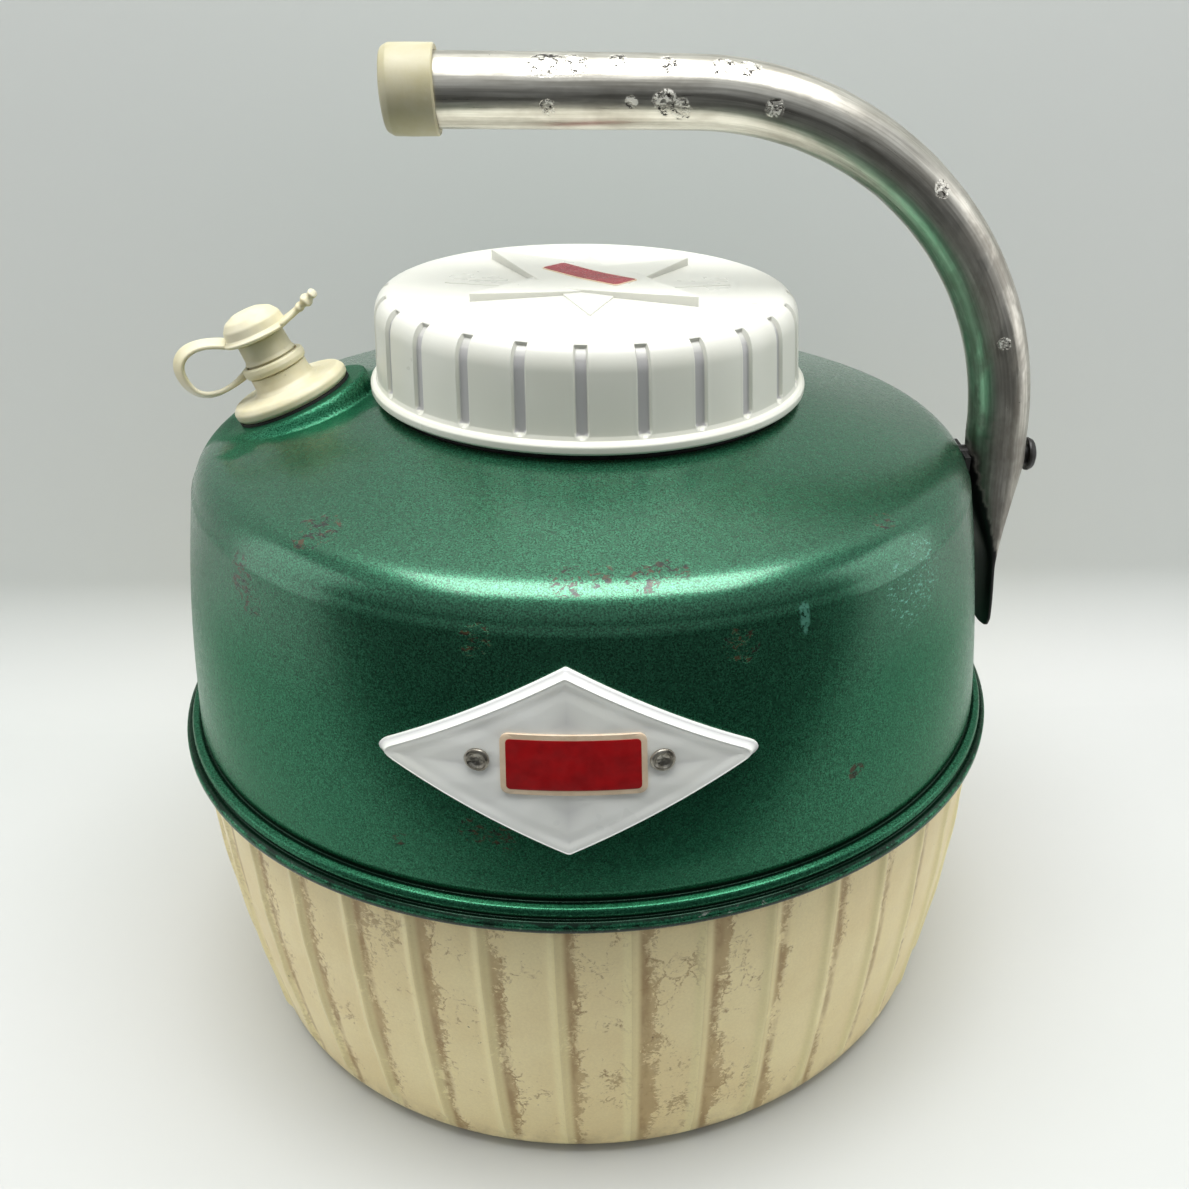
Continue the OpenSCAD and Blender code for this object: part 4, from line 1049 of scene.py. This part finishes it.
pr = smooth_line([(0, 101.2), (2.6, 101.2, 0.2), (3.0, 101.7, 0.2), (3.0, 137.1), (5.1, 137.1, 0.15), (5.25, 137.8, 0.4), (4.6, 139.2, 0.9), (2.6, 140.1, 1.2), (0, 140.3)], 5)
o = lathe("handle_bolt_skin", pr, 64, None, False, 50)
o.data.transform(Matrix.Translation((0, 0, 175 * MM)) @ Matrix.Rotation(math.radians(90), 4, "Y"))
dress(o, "black"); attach(o, "jug"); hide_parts("handle_bolt")

# ---------------------------------------------------------------- CAD nodes that stay, with better materials
for node, key in (("foam_insulation", "foam"), ("liner", "liner"), ("neck_seal", "rubber"), ("spout_gasket", "rubber"), ("spout_grommet", "rubber"),
                  ("lid_gasket", "seal"), ("lid_inner_cover", "white"), ("lid_foam", "foam"), ("handle_pad", "rubber"),
                  ("handle_backing_block", "wood"), ("handle_washer", "zinc"), ("handle_nut", "zinc")):
    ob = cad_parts[node]
    for i in range(max(1, len(ob.material_slots))):
        if len(ob.material_slots) == 0:
            ob.data.materials.append(MATS[key])
        else:
            ob.material_slots[i].material = MATS[key]

# ---------------------------------------------------------------- studio
prof = [(-0.27, 0.0)] + [(0.122 + 0.05 * math.sin(t), 0.05 - 0.05 * math.cos(t)) for t in np.linspace(0, math.pi / 2, 24)] + [(0.1725, 0.5), (0.174, 0.95)]
V, F = [], []
for x in (-1.1, 1.1):
    for (y, z) in prof:
        V.append((x, y, z))
n = len(prof)
for i in range(n - 1):
    F.append((i, n + i, n + i + 1, i + 1))
floor = make("studio_sweep", V, F, True)
fm = Mat("studio_paper")
fx, fy, fz2 = fm.sep()
paper = fm.mix(fm.remap(fm.noise(3, 2, 0.5), 0.3, 0.7), lin(206, 207, 205), lin(203, 205, 202))
# painted shade: the upright part of the sweep is made a shade darker than the floor
fm.put("Base Color", fm.mix(fm.remap(fz2, 0.001, 0.055), paper, lin(203, 206, 203)))
fm.set(Roughness=0.85, Specular_IOR_Level=0.2)
floor.data.materials.clear(); floor.data.materials.append(fm.m)


def area(name, loc, target, size, power, color=(1, 1, 1)):
    d = bpy.data.lights.new(name, "AREA")
    d.shape = "RECTANGLE"; d.size, d.size_y = size
    d.energy = power; d.color = color
    ob = bpy.data.objects.new(name, d)
    bpy.context.collection.objects.link(ob)
    ob.location = loc
    ob.rotation_euler = (Vector(target) - Vector(loc)).to_track_quat("-Z", "Y").to_euler()
    return ob


area("top_box", (0.0, -0.12, 0.95), (0, -0.10, 0.1), (0.9, 0.5), 10.6)
area("left_box", (-0.8, -0.05, 0.35), (0, 0, 0.15), (0.45, 0.6), 1.1)
area("right_box", (0.8, -0.05, 0.35), (0, 0, 0.15), (0.45, 0.6), 1.3)
w = bpy.data.worlds.new("studio"); bpy.context.scene.world = w
w.use_nodes = True
wt = w.node_tree
bg = wt.nodes["Background"]
wc = wt.nodes.new("ShaderNodeTexCoord"); ws = wt.nodes.new("ShaderNodeSeparateXYZ")
wt.links.new(wc.outputs["Generated"], ws.inputs[0])
wr = wt.nodes.new("ShaderNodeMapRange"); wr.interpolation_type = "SMOOTHSTEP"
wt.links.new(ws.outputs[2], wr.inputs["Value"])
for k, v in (("From Min", -0.05), ("From Max", 0.6), ("To Min", 0.06), ("To Max", 0.44)):
    wr.inputs[k].default_value = v
wt.links.new(wr.outputs["Result"], bg.inputs["Strength"])
bg.inputs["Color"].default_value = (0.94, 0.98, 1.0, 1)
bpy.context.scene.view_settings.view_transform = "Standard"

# ---------------------------------------------------------------- camera
cam_d = bpy.data.cameras.new("camera")
cam = bpy.data.objects.new("camera", cam_d)
bpy.context.collection.objects.link(cam)
th, ps, ro = 0.5204, 0.1202, 0.0378
fwd = Vector((math.sin(ps) * math.cos(th), math.cos(ps) * math.cos(th), -math.sin(th)))
rt = fwd.cross(Vector((0, 0, 1))).normalized()
up = rt.cross(fwd)
r2 = rt * math.cos(ro) + up * math.sin(ro)
u2 = -rt * math.sin(ro) + up * math.cos(ro)
R3 = Matrix((r2, u2, -fwd)).transposed()
cam.matrix_world = Matrix.Translation((0, -2.8230 * 0.129, 0.098 + 1.6851 * 0.129)) @ R3.to_4x4()
cam_d.sensor_width = 36
cam_d.lens = 36 * 1245.31 / 1189
cam_d.shift_x = -133.2 / 1189
cam_d.shift_y = 55.1 / 1189
cam_d.clip_start = 0.01
bpy.context.scene.camera = cam
